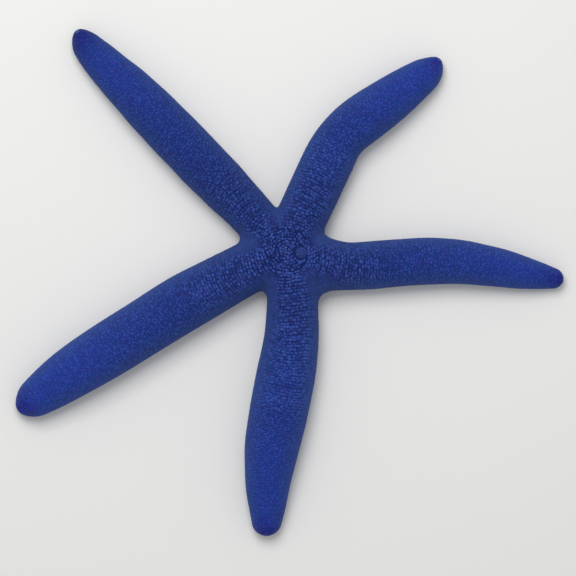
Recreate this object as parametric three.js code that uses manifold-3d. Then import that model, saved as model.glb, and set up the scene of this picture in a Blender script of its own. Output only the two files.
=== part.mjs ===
// Blue sea star, life size, a still model that lies mouth down on the floor.
// Millimetres, +Z up, the floor is z = 0 and the origin is under the middle of the body's box.
//
// The body is a small disc with five long round arms. Each arm follows its own bent course over
// the floor, swells a little beyond its neck, tapers to a blunt nose that lifts off the floor, and
// has a flat sole with a furrow along its middle. Thin cuts part the body into the disc and three
// lengths of each arm. The madreporite, the mouth and the eye cushions are pieces of their own.

import * as THREE from 'three';
import { mergeVertices } from 'three/addons/utils/BufferGeometryUtils.js';
import Module from 'manifold-3d';

const wasm = await Module();
wasm.setup();

// ---- Driving dimensions ---------------------------------------------------------------------

// One entry for each arm, clockwise as seen from above. Bearings and turns are in degrees,
// anticlockwise from +X. reach is the course's length from the disc's centre to the arm's end, neck
// and girth are half breadths, and fullest is the share of the reach where the arm is broadest.
// blunt says how long it stays full before it tapers, tip is the share of its breadth that the taper
// leaves, and nose is the length of the round nose. A bend turns the course by turn degrees, centred
// at the distance at and eased over the length over.
const ARMS = [
  {
    bearing: 134, reach: 121.5, neck: 9, girth: 10.3, fullest: 0.37, blunt: 3, tip: 0.43,
    nose: 7.6, bends: [{ at: 80, turn: 1.3, over: 15 }, { at: 113.2, turn: -14, over: 16 }],
  },
  {
    bearing: 64.8, reach: 100.5, neck: 10.3, girth: 10.3, fullest: 0.25, blunt: 4.1, tip: 0.45,
    nose: 9, bends: [{ at: 50.3, turn: -29, over: 31 }, { at: 95.5, turn: 24, over: 17 }],
  },
  {
    bearing: -33.1, reach: 112.5, neck: 10.7, girth: 9.5, fullest: 0.25, blunt: 3.3, tip: 0.36,
    nose: 3.4, bends: [{ at: 12.9, turn: 38, over: 52 }, { at: 67.3, turn: -16, over: 47 }],
  },
  {
    bearing: -78.1, reach: 114.9, neck: 10.1, girth: 11.8, fullest: 0.5, blunt: 2.1, tip: 0.4,
    nose: 4.2, bends: [{ at: 23.8, turn: -23, over: 62 }, { at: 86, turn: 9.4, over: 33 }],
  },
  {
    bearing: -156.4, reach: 124.9, neck: 10.5, girth: 11.4, fullest: 0.38, blunt: 4, tip: 0.48,
    nose: 7.9, bends: [{ at: 26.4, turn: 8.3, over: 80 }, { at: 101, turn: 3.8, over: 40 }],
  },
];

const HEIGHT_TO_BREADTH = 0.8; // an arm's height over its breadth
const WAIST = 0.44; // height of the arm's broadest line, as a share of its height
const SOLE = 0.52; // half breadth of the flat sole, as a share of the half breadth
const SWELL_START = 0.12; // share of the reach where the neck starts to swell
const LIFT = { length: 8, height: 3 }; // how the end of the sole curves up off the floor
const FURROW = { halfWidth: 1.3, depth: 2.4, mostOfHalf: 0.22 };

const DISC = { radius: 16.4, height: 16.6 };
const NECK_OVERLAP = 4; // how far each arm's neck runs back past the disc's centre
const ARM_START = 21; // from the disc's centre to the cut that parts the arms from it
const LENGTHS = [
  { part: 'base', start: 0, end: 0.34, rings: 6 },
  { part: 'middle', start: 0.34, end: 0.68, rings: 6 },
  { part: 'tip', start: 0.68, end: 1, rings: 10 },
]; // start and end are shares of the free arm
const CUT = 0.3; // width of the thin cuts, and the gap round a piece that is let in

const MOUTH = { radius: 5, depth: 3.4, clear: 0.5, opening: 0.7, lip: 1.3 };
const JAW = { apex: 1.3, root: 4.5, halfWidth: 1.2, height: 1.4 };
const MADREPORITE = { distance: 6.1, bearing: -9, radius: 2.4, bottom: 15.8, rim: 16.9, top: 17.5 };
const EYE = { fromNose: 2.1, length: 1.3, breadth: 1.1, height: 0.9, overSole: 0.2 };

// ---- Finishes -------------------------------------------------------------------------------

const finish = (color, roughness) => new THREE.MeshStandardMaterial({ color, roughness, metalness: 0 });
const FINISH = {
  skin: finish(0x26387d, 0.75),
  madreporite: finish(0x5b6a9c, 0.8),
  mouth: finish(0xb9ab86, 0.6),
  eye: finish(0xa83222, 0.35),
};

// ---- An arm's course and size ---------------------------------------------------------------

const { degToRad, lerp, smoothstep } = THREE.MathUtils;
const COURSE_STEP = 1;

// The direction of an arm's course, in radians, at a distance from the disc's centre.
function direction(arm, distance) {
  let bearing = arm.bearing;
  for (const { at, turn, over } of arm.bends) {
    bearing += turn * smoothstep(distance, at - over / 2, at + over / 2);
  }
  return degToRad(bearing);
}

// A point of an arm's course on the floor, found by walking along its direction.
function coursePoint(arm, distance) {
  const point = new THREE.Vector3();
  const steps = Math.max(1, Math.ceil(Math.abs(distance) / COURSE_STEP));
  const stride = distance / steps;
  for (let step = 0; step < steps; step += 1) {
    const heading = direction(arm, (step + 0.5) * stride);
    point.x += stride * Math.cos(heading);
    point.y += stride * Math.sin(heading);
  }
  return point;
}

function halfBreadth(arm, distance) {
  const share = distance / arm.reach;
  const swell = smoothstep(share, SWELL_START, arm.fullest);
  const taper = Math.max(0, (share - arm.fullest) / (1 - arm.fullest));
  const narrowed = 1 - (1 - arm.tip) * taper ** arm.blunt;
  const nose = Math.max(0, (distance - arm.reach) / arm.nose + 1);
  return lerp(arm.neck, arm.girth, swell) * narrowed * Math.sqrt(Math.max(0, 1 - nose * nose));
}

// How high the sole is over the floor: nothing, until it curves up to the nose.
function soleLift(arm, distance) {
  const along = Math.max(0, (distance - arm.reach) / LIFT.length + 1);
  return LIFT.height * (1 - Math.sqrt(Math.max(0, 1 - along ** 2)));
}

// A point over an arm's course: across is to its right, up is from the sole.
function armPoint(arm, distance, across, up) {
  const heading = direction(arm, distance);
  const centre = coursePoint(arm, distance);
  return [
    centre.x + across * Math.sin(heading),
    centre.y - across * Math.cos(heading),
    up + soleLift(arm, distance),
  ];
}

// ---- An arm's cross section -----------------------------------------------------------------

const CROWN_SIDES = 16;
const CROWN_DIP = 52; // how far the oval runs round below its waist, in degrees
const FLANK_POWER = 0.78; // under 1 the flanks turn in more squarely below the waist

const armHeight = (half) => 2 * half * HEIGHT_TO_BREADTH;

// The oval over the sole, from its right edge over the top to its left edge, as [across, up].
function crownOutline(half, height = armHeight(half)) {
  const waist = height * WAIST;
  const outline = [[SOLE * half, 0]];
  for (let side = 0; side <= CROWN_SIDES; side += 1) {
    const turn = degToRad(lerp(-CROWN_DIP, 180 + CROWN_DIP, side / CROWN_SIDES));
    const [across, up] = [Math.cos(turn), Math.sin(turn)];
    if (up >= 0) {
      outline.push([half * across, waist + (height - waist) * up]);
    } else {
      const squared = Math.sign(across) * Math.abs(across) ** FLANK_POWER;
      outline.push([half * squared, waist - waist * (-up) ** FLANK_POWER]);
    }
  }
  outline.push([-SOLE * half, 0]);
  return outline;
}

// The furrow's roof, from its left lip to its right lip.
function furrowOutline(half) {
  const width = Math.min(FURROW.halfWidth, FURROW.mostOfHalf * half);
  const depth = FURROW.depth * (width / FURROW.halfWidth);
  return [[-width, 0], [-0.8 * width, 0.7 * depth], [0, depth], [0.8 * width, 0.7 * depth], [width, 0]];
}

const armSection = (half) => [...crownOutline(half), ...furrowOutline(half)];

// The furrow's own cutter, whose foot runs out below the floor.
const furrowSection = (half) => [
  [FURROW.halfWidth, BELOW_FLOOR],
  ...furrowOutline(half).reverse(),
  [-FURROW.halfWidth, BELOW_FLOOR],
];

// ---- Closed solids --------------------------------------------------------------------------

const TURNED_SIDES = { disc: 40, mouth: 30, madreporite: 24 };
const SAME_CORNER = 1e-4; // corners nearer than this are one
const BELOW_FLOOR = -1; // where a cutter that opens downward ends
const ABOVE_DISC = 20; // where a cutter that opens upward ends

// A closed geometry as a solid that can be joined and cut: its shared corners are merged, and
// the triangles that vanish on a lathe's axis are dropped.
function solidOf(geometry) {
  geometry.deleteAttribute('normal');
  geometry.deleteAttribute('uv');
  const merged = mergeVertices(geometry, SAME_CORNER);
  const corners = merged.index.array;
  const kept = [];
  for (let first = 0; first < corners.length; first += 3) {
    const [a, b, c] = corners.slice(first, first + 3);
    if (a !== b && b !== c && c !== a) {
      kept.push(a, b, c);
    }
  }
  const vertProperties = new Float32Array(merged.attributes.position.array);
  return new wasm.Manifold(new wasm.Mesh({ numProp: 3, vertProperties, triVerts: new Uint32Array(kept) }));
}

function geometryOf(solid) {
  const { vertProperties, triVerts } = solid.getMesh();
  const geometry = new THREE.BufferGeometry();
  geometry.setAttribute('position', new THREE.BufferAttribute(new Float32Array(vertProperties), 3));
  geometry.setIndex(new THREE.BufferAttribute(new Uint32Array(triVerts), 1));
  geometry.computeVertexNormals();
  return geometry;
}

const joined = (solids) => solids.reduce((whole, solid) => whole.add(solid));

// A profile of [radius, height] points, from the axis below to the axis above, turned about the
// upright line through a place.
function turned(profile, sides, place = new THREE.Vector3()) {
  const points = profile.map(([radius, height]) => new THREE.Vector2(radius, height));
  return solidOf(new THREE.LatheGeometry(points, sides).rotateX(Math.PI / 2).translate(...place));
}

// A straight rod bent along an arm's course from one distance to another. section gives its
// outline for a half breadth. A rod that ends at the arm's reach closes to a point there.
function bentRod(arm, from, to, rings, section) {
  const pointed = to >= arm.reach;
  const sides = section(1).length;
  const rod = new THREE.CylinderGeometry(pointed ? 0 : 1, 1, 1, sides, rings);
  const { position } = rod.attributes;
  const vertex = new THREE.Vector3();
  for (let index = 0; index < position.count; index += 1) {
    vertex.fromBufferAttribute(position, index);
    const along = vertex.y + 0.5;
    // Rings crowd together towards a nose, where the arm narrows fastest.
    const distance = lerp(from, to, pointed ? Math.sin(along * Math.PI / 2) : along);
    const outline = section(halfBreadth(arm, distance));
    const ups = outline.map(([, up]) => up);
    const middle = [0, (Math.min(...ups) + Math.max(...ups)) / 2];
    const turn = Math.atan2(-vertex.x, vertex.z) / (2 * Math.PI);
    const corner = (Math.round(turn * sides) + sides) % sides;
    const onAxis = Math.hypot(vertex.x, vertex.z) < SAME_CORNER;
    position.setXYZ(index, ...armPoint(arm, distance, ...(onAxis ? middle : outline[corner])));
  }
  return solidOf(rod);
}

// ---- The body's pieces ----------------------------------------------------------------------

const madreporitePlace = new THREE.Vector3(MADREPORITE.distance, 0, 0)
  .applyAxisAngle(new THREE.Vector3(0, 0, 1), degToRad(MADREPORITE.bearing));

// The disc: the arms' five necks run together, under a crown that rounds the angles between them.
// The furrows meet in the bowl of the mouth, and the madreporite's seat is let into the top.
function discSolid() {
  const flank = crownOutline(DISC.radius, DISC.height).slice(0, CROWN_SIDES / 2 + 1);
  const crown = turned([[0, 0], ...flank, [0, DISC.height]], TURNED_SIDES.disc);
  const necks = ARMS.map((arm) => bentRod(arm, -NECK_OVERLAP, ARM_START - CUT / 2, 6, crownOutline));
  const furrows = ARMS.map((arm) => bentRod(arm, 0, ARM_START + CUT, 4, furrowSection));
  const bowlFoot = [[0, BELOW_FLOOR], [MOUTH.radius, BELOW_FLOOR]];
  const bowl = turned([...bowlFoot, ...mouthVault(0)], TURNED_SIDES.mouth);
  const wall = MADREPORITE.radius + CUT;
  const floor = MADREPORITE.bottom - CUT;
  const seatProfile = [[0, floor], [wall, floor], [wall, ABOVE_DISC], [0, ABOVE_DISC]];
  const seat = turned(seatProfile, TURNED_SIDES.madreporite, madreporitePlace);
  return joined([crown, ...necks]).subtract(joined([...furrows, bowl, seat]));
}

// The vault over the mouth, from its wall to the axis, drawn in by a margin.
const mouthVault = (margin) => [
  [MOUTH.radius - margin, 0.45 * MOUTH.depth - margin],
  [0.7 * MOUTH.radius - margin / 2, 0.9 * MOUTH.depth - margin],
  [0, MOUTH.depth - margin],
];

// The mouth: the soft membrane that closes the bowl, dimpled at the opening, and the five jaws, one in
// each angle between two arms, that point at it.
function mouthSolid() {
  const { radius, clear, opening, lip } = MOUTH;
  const membrane = turned([
    [0, clear + 1.6],
    [opening, clear + 1.5],
    [lip, clear + 0.8],
    [0.6 * radius, clear + 0.5],
    [radius - CUT, clear + 0.3],
    ...mouthVault(CUT),
  ], TURNED_SIDES.mouth);
  const jaws = ARMS.map((arm, index) => {
    const next = ARMS[(index + 1) % ARMS.length];
    const sweep = (arm.bearing - next.bearing + 360) % 360;
    const outline = new THREE.Shape();
    outline.moveTo(JAW.root, -JAW.halfWidth);
    outline.lineTo(JAW.root, JAW.halfWidth);
    outline.quadraticCurveTo(JAW.apex, JAW.halfWidth, JAW.apex, 0);
    outline.quadraticCurveTo(JAW.apex, -JAW.halfWidth, JAW.root, -JAW.halfWidth);
    const flat = { depth: JAW.height, bevelEnabled: false, curveSegments: 4 };
    const jaw = new THREE.ExtrudeGeometry(outline, flat).translate(0, 0, clear);
    return solidOf(jaw.rotateZ(degToRad(arm.bearing - sweep / 2)));
  });
  return joined([membrane, ...jaws]);
}

// The madreporite: a low round plate, let into the top of the disc beside its centre.
function madreporiteSolid() {
  const { radius, bottom, rim, top } = MADREPORITE;
  const shoulder = [0.8 * radius, lerp(rim, top, 2 / 3)];
  const profile = [[0, bottom], [radius, bottom], [radius, rim], shoulder, [0, top]];
  return turned(profile, TURNED_SIDES.madreporite, madreporitePlace);
}

// An eye cushion, or the socket round it, under the nose where the furrow ends.
function eyeSolid(arm, margin = 0) {
  const distance = arm.reach - EYE.fromNose;
  const eye = new THREE.SphereGeometry(0.5, 8, 6).scale(
    EYE.length + 2 * margin,
    EYE.breadth + 2 * margin,
    EYE.height + 2 * margin,
  );
  eye.rotateZ(direction(arm, distance)).translate(...armPoint(arm, distance, 0, EYE.overSole));
  return solidOf(eye);
}

// ---- The whole animal -----------------------------------------------------------------------

const star = new THREE.Group();

function place(name, solid, material) {
  const mesh = new THREE.Mesh(geometryOf(solid), material);
  mesh.name = name;
  star.add(mesh);
}

place('disc', discSolid(), FINISH.skin);
place('madreporite', madreporiteSolid(), FINISH.madreporite);
place('mouth', mouthSolid(), FINISH.mouth);

ARMS.forEach((arm, index) => {
  const name = `arm_${index + 1}`;
  for (const { part, start, end, rings } of LENGTHS) {
    const from = lerp(ARM_START, arm.reach, start) + CUT / 2;
    const isTip = end === 1;
    const to = isTip ? arm.reach : lerp(ARM_START, arm.reach, end) - CUT / 2;
    const length = bentRod(arm, from, to, rings, armSection);
    place(`${name}_${part}`, isTip ? length.subtract(eyeSolid(arm, CUT)) : length, FINISH.skin);
  }
  place(`${name}_eye`, eyeSolid(arm), FINISH.eye);
});

// The origin goes under the middle of the body's box.
const middle = new THREE.Box3().setFromObject(star).getCenter(new THREE.Vector3());
star.position.set(-middle.x, -middle.y, 0);

const group = new THREE.Group();
group.add(star);
export default group;
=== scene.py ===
"""Blue sea star, life size: the looks of a still museum model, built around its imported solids.

One skin covers the disc and the five arms. Over it lies a coat of low plates, in rings on the disc
and in rows across the arms, coarse near the disc and fine towards the tips. The underside has sole
plates, furrow spines, tube feet and the mouth; the madreporite, the eye cushions and the terminal
plates are pieces of their own. Lengths are metres, and MM turns millimetres into metres.
"""

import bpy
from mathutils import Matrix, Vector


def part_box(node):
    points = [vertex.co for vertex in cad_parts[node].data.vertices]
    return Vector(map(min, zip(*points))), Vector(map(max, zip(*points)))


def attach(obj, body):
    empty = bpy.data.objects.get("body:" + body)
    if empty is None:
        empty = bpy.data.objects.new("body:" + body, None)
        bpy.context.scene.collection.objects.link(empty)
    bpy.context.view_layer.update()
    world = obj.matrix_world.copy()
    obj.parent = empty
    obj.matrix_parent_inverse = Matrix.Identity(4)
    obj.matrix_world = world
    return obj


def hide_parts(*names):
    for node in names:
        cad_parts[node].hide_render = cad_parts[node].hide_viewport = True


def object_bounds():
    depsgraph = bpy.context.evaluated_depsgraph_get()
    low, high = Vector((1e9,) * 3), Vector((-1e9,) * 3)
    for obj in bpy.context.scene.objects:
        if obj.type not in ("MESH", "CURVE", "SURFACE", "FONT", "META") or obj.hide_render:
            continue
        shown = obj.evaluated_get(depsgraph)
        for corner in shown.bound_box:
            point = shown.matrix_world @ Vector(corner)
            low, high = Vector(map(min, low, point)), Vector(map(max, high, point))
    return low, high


bl_info = {
    "name": "Blue Sea Star",
    "version": (1, 0, 0),
    "blender": (4, 5, 0),
    "location": "View3D > Sidebar > Sea Star",
    "description": "Builds the skin, coat, underside, finishes and stage of a life-size blue sea star",
    "category": "Add Mesh",
}

import math
from typing import NamedTuple

import bpy
import numpy as np
import openvdb
from bpy.props import FloatProperty, FloatVectorProperty, IntProperty, PointerProperty
from mathutils import Vector
from mathutils.kdtree import KDTree

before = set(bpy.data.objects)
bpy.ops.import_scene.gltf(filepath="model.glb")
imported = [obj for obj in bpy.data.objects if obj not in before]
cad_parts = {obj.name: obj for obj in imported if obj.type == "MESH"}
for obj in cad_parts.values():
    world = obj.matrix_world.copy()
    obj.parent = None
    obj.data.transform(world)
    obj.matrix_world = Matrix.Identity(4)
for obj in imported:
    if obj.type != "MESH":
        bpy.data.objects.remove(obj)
CAD_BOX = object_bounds()

MM = 0.001

# ---- The body's plan --------------------------------------------------------------------------

# One entry for each arm, clockwise as seen from above, in millimetres and degrees. Bearings and
# turns are anticlockwise from +X. reach is the course's length from the disc's centre to the arm's
# end, neck and girth are half breadths, and fullest is the share of the reach where the arm is
# broadest. blunt says how long it stays full, tip is the share of its breadth that the taper leaves,
# and nose is the length of the round nose. A bend turns the course by turn, centred at the distance
# at and eased over the length over. tint lightens or darkens the arm and cap its nose besides, and
# coarse is the share of it that the coarse rows of plates reach. corner is the bearing of the
# corner between this arm and the next one, and web says how broadly the two run together there. A
# dent presses one flank in: its station, the side it is on (1 is to the right of the course), its
# depth and its half length.
ARM_PLANS = [
    {"bearing": 134, "reach": 121.5, "neck": 9, "girth": 10.3, "fullest": 0.37, "blunt": 3,
     "tip": 0.43, "nose": 7.6, "bends": [(80, 1.3, 15), (113.2, -14, 16)],
     "tint": -0.1, "cap": -0.2, "coarse": 0.37, "corner": 102, "web": 2},
    {"bearing": 64.8, "reach": 100.5, "neck": 10.3, "girth": 10.3, "fullest": 0.25, "blunt": 4.1,
     "tip": 0.45, "nose": 9, "bends": [(50.3, -29, 31), (95.5, 24, 17)], "dents": [(50, 1, 1.0, 6.5)],
     "tint": 0.0, "cap": 0.03, "coarse": 0.5, "corner": 25, "web": 2.5},
    {"bearing": -33.1, "reach": 112.5, "neck": 10.7, "girth": 9.5, "fullest": 0.25, "blunt": 3.3,
     "tip": 0.36, "nose": 3.4, "bends": [(12.9, 38, 52), (67.3, -16, 47)],
     "tint": 0.02, "cap": -0.05, "coarse": 0.38, "corner": -46, "web": 8},
    {"bearing": -78.1, "reach": 114.9, "neck": 10.1, "girth": 11.8, "fullest": 0.5, "blunt": 2.1,
     "tip": 0.4, "nose": 4.2, "bends": [(23.8, -23, 62), (86, 9.4, 33)],
     "tint": 0.04, "cap": 0.0, "coarse": 0.62, "corner": -120, "web": 4.4},
    {"bearing": -156.4, "reach": 124.9, "neck": 10.5, "girth": 11.4, "fullest": 0.38, "blunt": 4,
     "tip": 0.48, "nose": 7.9, "bends": [(26.4, 8.3, 80), (101, 3.8, 40)],
     "tint": 0.06, "cap": 0.05, "coarse": 0.38, "corner": 169, "web": 4.7},
]

HEIGHT_TO_BREADTH = 0.8
WAIST = 0.44  # height of the broadest line, as a share of the height
SWELL_START = 0.12  # share of the reach where the neck starts to swell
FLANK_POWER = 2.56  # squareness of the oval below its waist
BELOW_WAIST = 1.04  # the lower oval runs a little below the sole, which cuts it flat
LIFT_LENGTH = 8 * MM  # the last of the sole, which curves up off the floor
LIFT_HEIGHT = 3 * MM
FURROW_HALF = 1.3 * MM
FURROW_DEPTH = 2.4 * MM
FURROW_SHARE = 0.22  # most of an arm's half breadth that the furrow takes
FURROW_CLOSES = (1.7 * MM, 0.7 * MM)  # from and to how far before the arm's end
FURROW_POWER = 2.6  # squareness of the furrow's section
SOLE_COAT = 0.15 * MM  # thickness of the soles' coat
SOLE_EDGE = 0.4 * MM  # how broadly the sole, the furrows and the bowl round into the skin
DISC_RADIUS = 16.4 * MM
DISC_HEIGHT = 16.6 * MM
BOWL_RADIUS = 5 * MM  # the bowl under the disc, which holds the mouth
BOWL_HEIGHT = 3.4 * MM
CROTCH_WEB = 1.2 * MM  # how broadly arms and disc run together near the disc's centre
SWELLS = 7  # slow waves that make the skin uneven
SWELL_LENGTHS = (8, 19)  # the shortest and the longest of them, in millimetres
NECK_OVERLAP = 4 * MM
COURSE_STEP = 0.25 * MM
BATCH = 50000  # most places that are looked for on an arm at once
THIN = 0.02 * MM  # least half breadth, at the very end of an arm, and least height over the floor
ROWS_START = 9.2 * MM  # where the arms' rows of plates take over from the disc's rings
RINGS_END = 15.5 * MM  # how far the rings run on between the arms' rows

# Where one thing eases into another: heights for the coat, shares of an arm for its nose's cap and
# its fine plates, and distances from the disc's centre for the rest.
COAT_DEEPENS = (6 * MM, 13 * MM)
WEBS_WIDEN = (8 * MM, 15 * MM)
DISC_TOP_ENDS = (7 * MM, 14 * MM)
TINT_STARTS = (12 * MM, 36 * MM)
CAP_STARTS = (0.86, 0.98)
FINE_FLATTENS = (0.45, 0.9)
COARSE_FLATTENS = (12 * MM, 22 * MM)
SOLE_DEPTH = 0.2  # how deep the skin lies under the soles' coat, as a share of the back's
FINE_RELIEF = (0.62, 0.44)  # how far fine plates stand out, at first and towards the tip
COARSE_RELIEF = (1.0, 0.78)  # the same for coarse plates, on the disc and on an arm
FLANK_FLAT = 0.72  # how much flatter the plates are on the flanks
WEB_FLAT = 0.7  # how much flatter they are in the corners between the arms
DISC_CHART = 15 * MM  # radius inside which the unwrap's two rounds hold the skin
STRIP_LENGTH = 126 * MM  # length of arm that fits the unwrap's strips
CHART_LEVEL = 5 * MM  # height that parts the upper round from the lower one


def smoothstep(value, low, high):
    share = np.clip((value - low) / (high - low), 0.0, 1.0)
    return share * share * (3.0 - 2.0 * share)


def lerp(a, b, share):
    return a + (b - a) * share


def smooth_min(a, b, width):
    near = np.clip(width - np.abs(a - b), 0.0, None) / width
    return np.minimum(a, b) - near * near * width / 4.0


def smooth_max(a, b, width):
    return -smooth_min(-a, -b, width)


def rounded(a, b, power):
    """How far out a place lies in a rounded square of half breadth 1; power 2 makes it a circle."""
    return (a ** power + b ** power) ** (1 / power)


class Arm:
    """One arm's course over the floor and its breadth, height and lift along it."""

    def __init__(self, number, centre, plan):
        self.number = number
        self.plan = plan
        self.reach = plan["reach"] * MM
        count = math.ceil((self.reach + NECK_OVERLAP) / COURSE_STEP)
        self.stations = np.linspace(-NECK_OVERLAP, self.reach, count + 1)
        stride = self.stations[1] - self.stations[0]
        headings = self.heading((self.stations[1:] + self.stations[:-1]) / 2)
        east = np.concatenate([[0.0], np.cumsum(stride * np.cos(headings))])
        north = np.concatenate([[0.0], np.cumsum(stride * np.sin(headings))])
        self.east = east - np.interp(0.0, self.stations, east) + centre[0]
        self.north = north - np.interp(0.0, self.stations, north) + centre[1]

    def heading(self, station):
        bearing = np.full(np.shape(station), float(self.plan["bearing"]))
        for at, turn, over in self.plan["bends"]:
            bearing += turn * smoothstep(station / MM, at - over / 2, at + over / 2)
        return np.radians(bearing)

    def point(self, station):
        return np.interp(station, self.stations, self.east), np.interp(station, self.stations, self.north)

    def half(self, station):
        plan = self.plan
        share = station / self.reach
        swell = smoothstep(share, SWELL_START, plan["fullest"])
        taper = np.clip((share - plan["fullest"]) / (1 - plan["fullest"]), 0.0, 1.0)
        full = lerp(plan["neck"], plan["girth"], swell) * MM
        narrowed = full * (1.0 - (1.0 - plan["tip"]) * taper ** plan["blunt"])
        nose = np.clip((station - self.reach) / (plan["nose"] * MM) + 1.0, 0.0, 1.0)
        return np.maximum(narrowed * np.sqrt(1.0 - nose * nose), THIN)

    def lift(self, station):
        along = np.clip((station - self.reach) / LIFT_LENGTH + 1.0, 0.0, 1.0)
        return LIFT_HEIGHT * (1.0 - np.sqrt(1.0 - along * along))

    def locate(self, east, north):
        """The nearest station to each place, and how far it lies to the right of the course."""
        every = slice(None, None, 8)
        gap = (east[:, None] - self.east[every]) ** 2 + (north[:, None] - self.north[every]) ** 2
        station = self.stations[every][gap.argmin(axis=1)]
        for _ in range(5):
            heading = self.heading(station)
            x, y = self.point(station)
            ahead = (east - x) * np.cos(heading) + (north - y) * np.sin(heading)
            station = np.clip(station + ahead, -NECK_OVERLAP, self.reach)
        heading = self.heading(station)
        x, y = self.point(station)
        right = (east - x) * np.sin(heading) - (north - y) * np.cos(heading)
        distance = np.hypot(east - x, north - y)
        return station, np.where(right < 0, -distance, distance)


def furrow_half(arm, station, half):
    """Half the furrow's breadth, which follows the arm's and closes in front of the eye cushion."""
    closing = smoothstep(station, arm.reach - FURROW_CLOSES[0], arm.reach - FURROW_CLOSES[1])
    return np.maximum(np.minimum(FURROW_HALF, FURROW_SHARE * half) * (1.0 - closing), THIN)


def oval_gap(across, up, half, height):
    """How far a point lies outside an oval section, along the ray from its middle."""
    waist = WAIST * height
    rise = up - waist
    across = np.abs(across) + 1e-9
    upper = rise > 0
    wide = across / half
    tall = np.abs(rise) / np.where(upper, height - waist, BELOW_WAIST * waist)
    measure = np.where(
        upper,
        np.sqrt(wide * wide + tall * tall),
        rounded(wide, tall, FLANK_POWER),
    )
    return np.hypot(across, rise) * (1.0 - 1.0 / measure)


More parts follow.
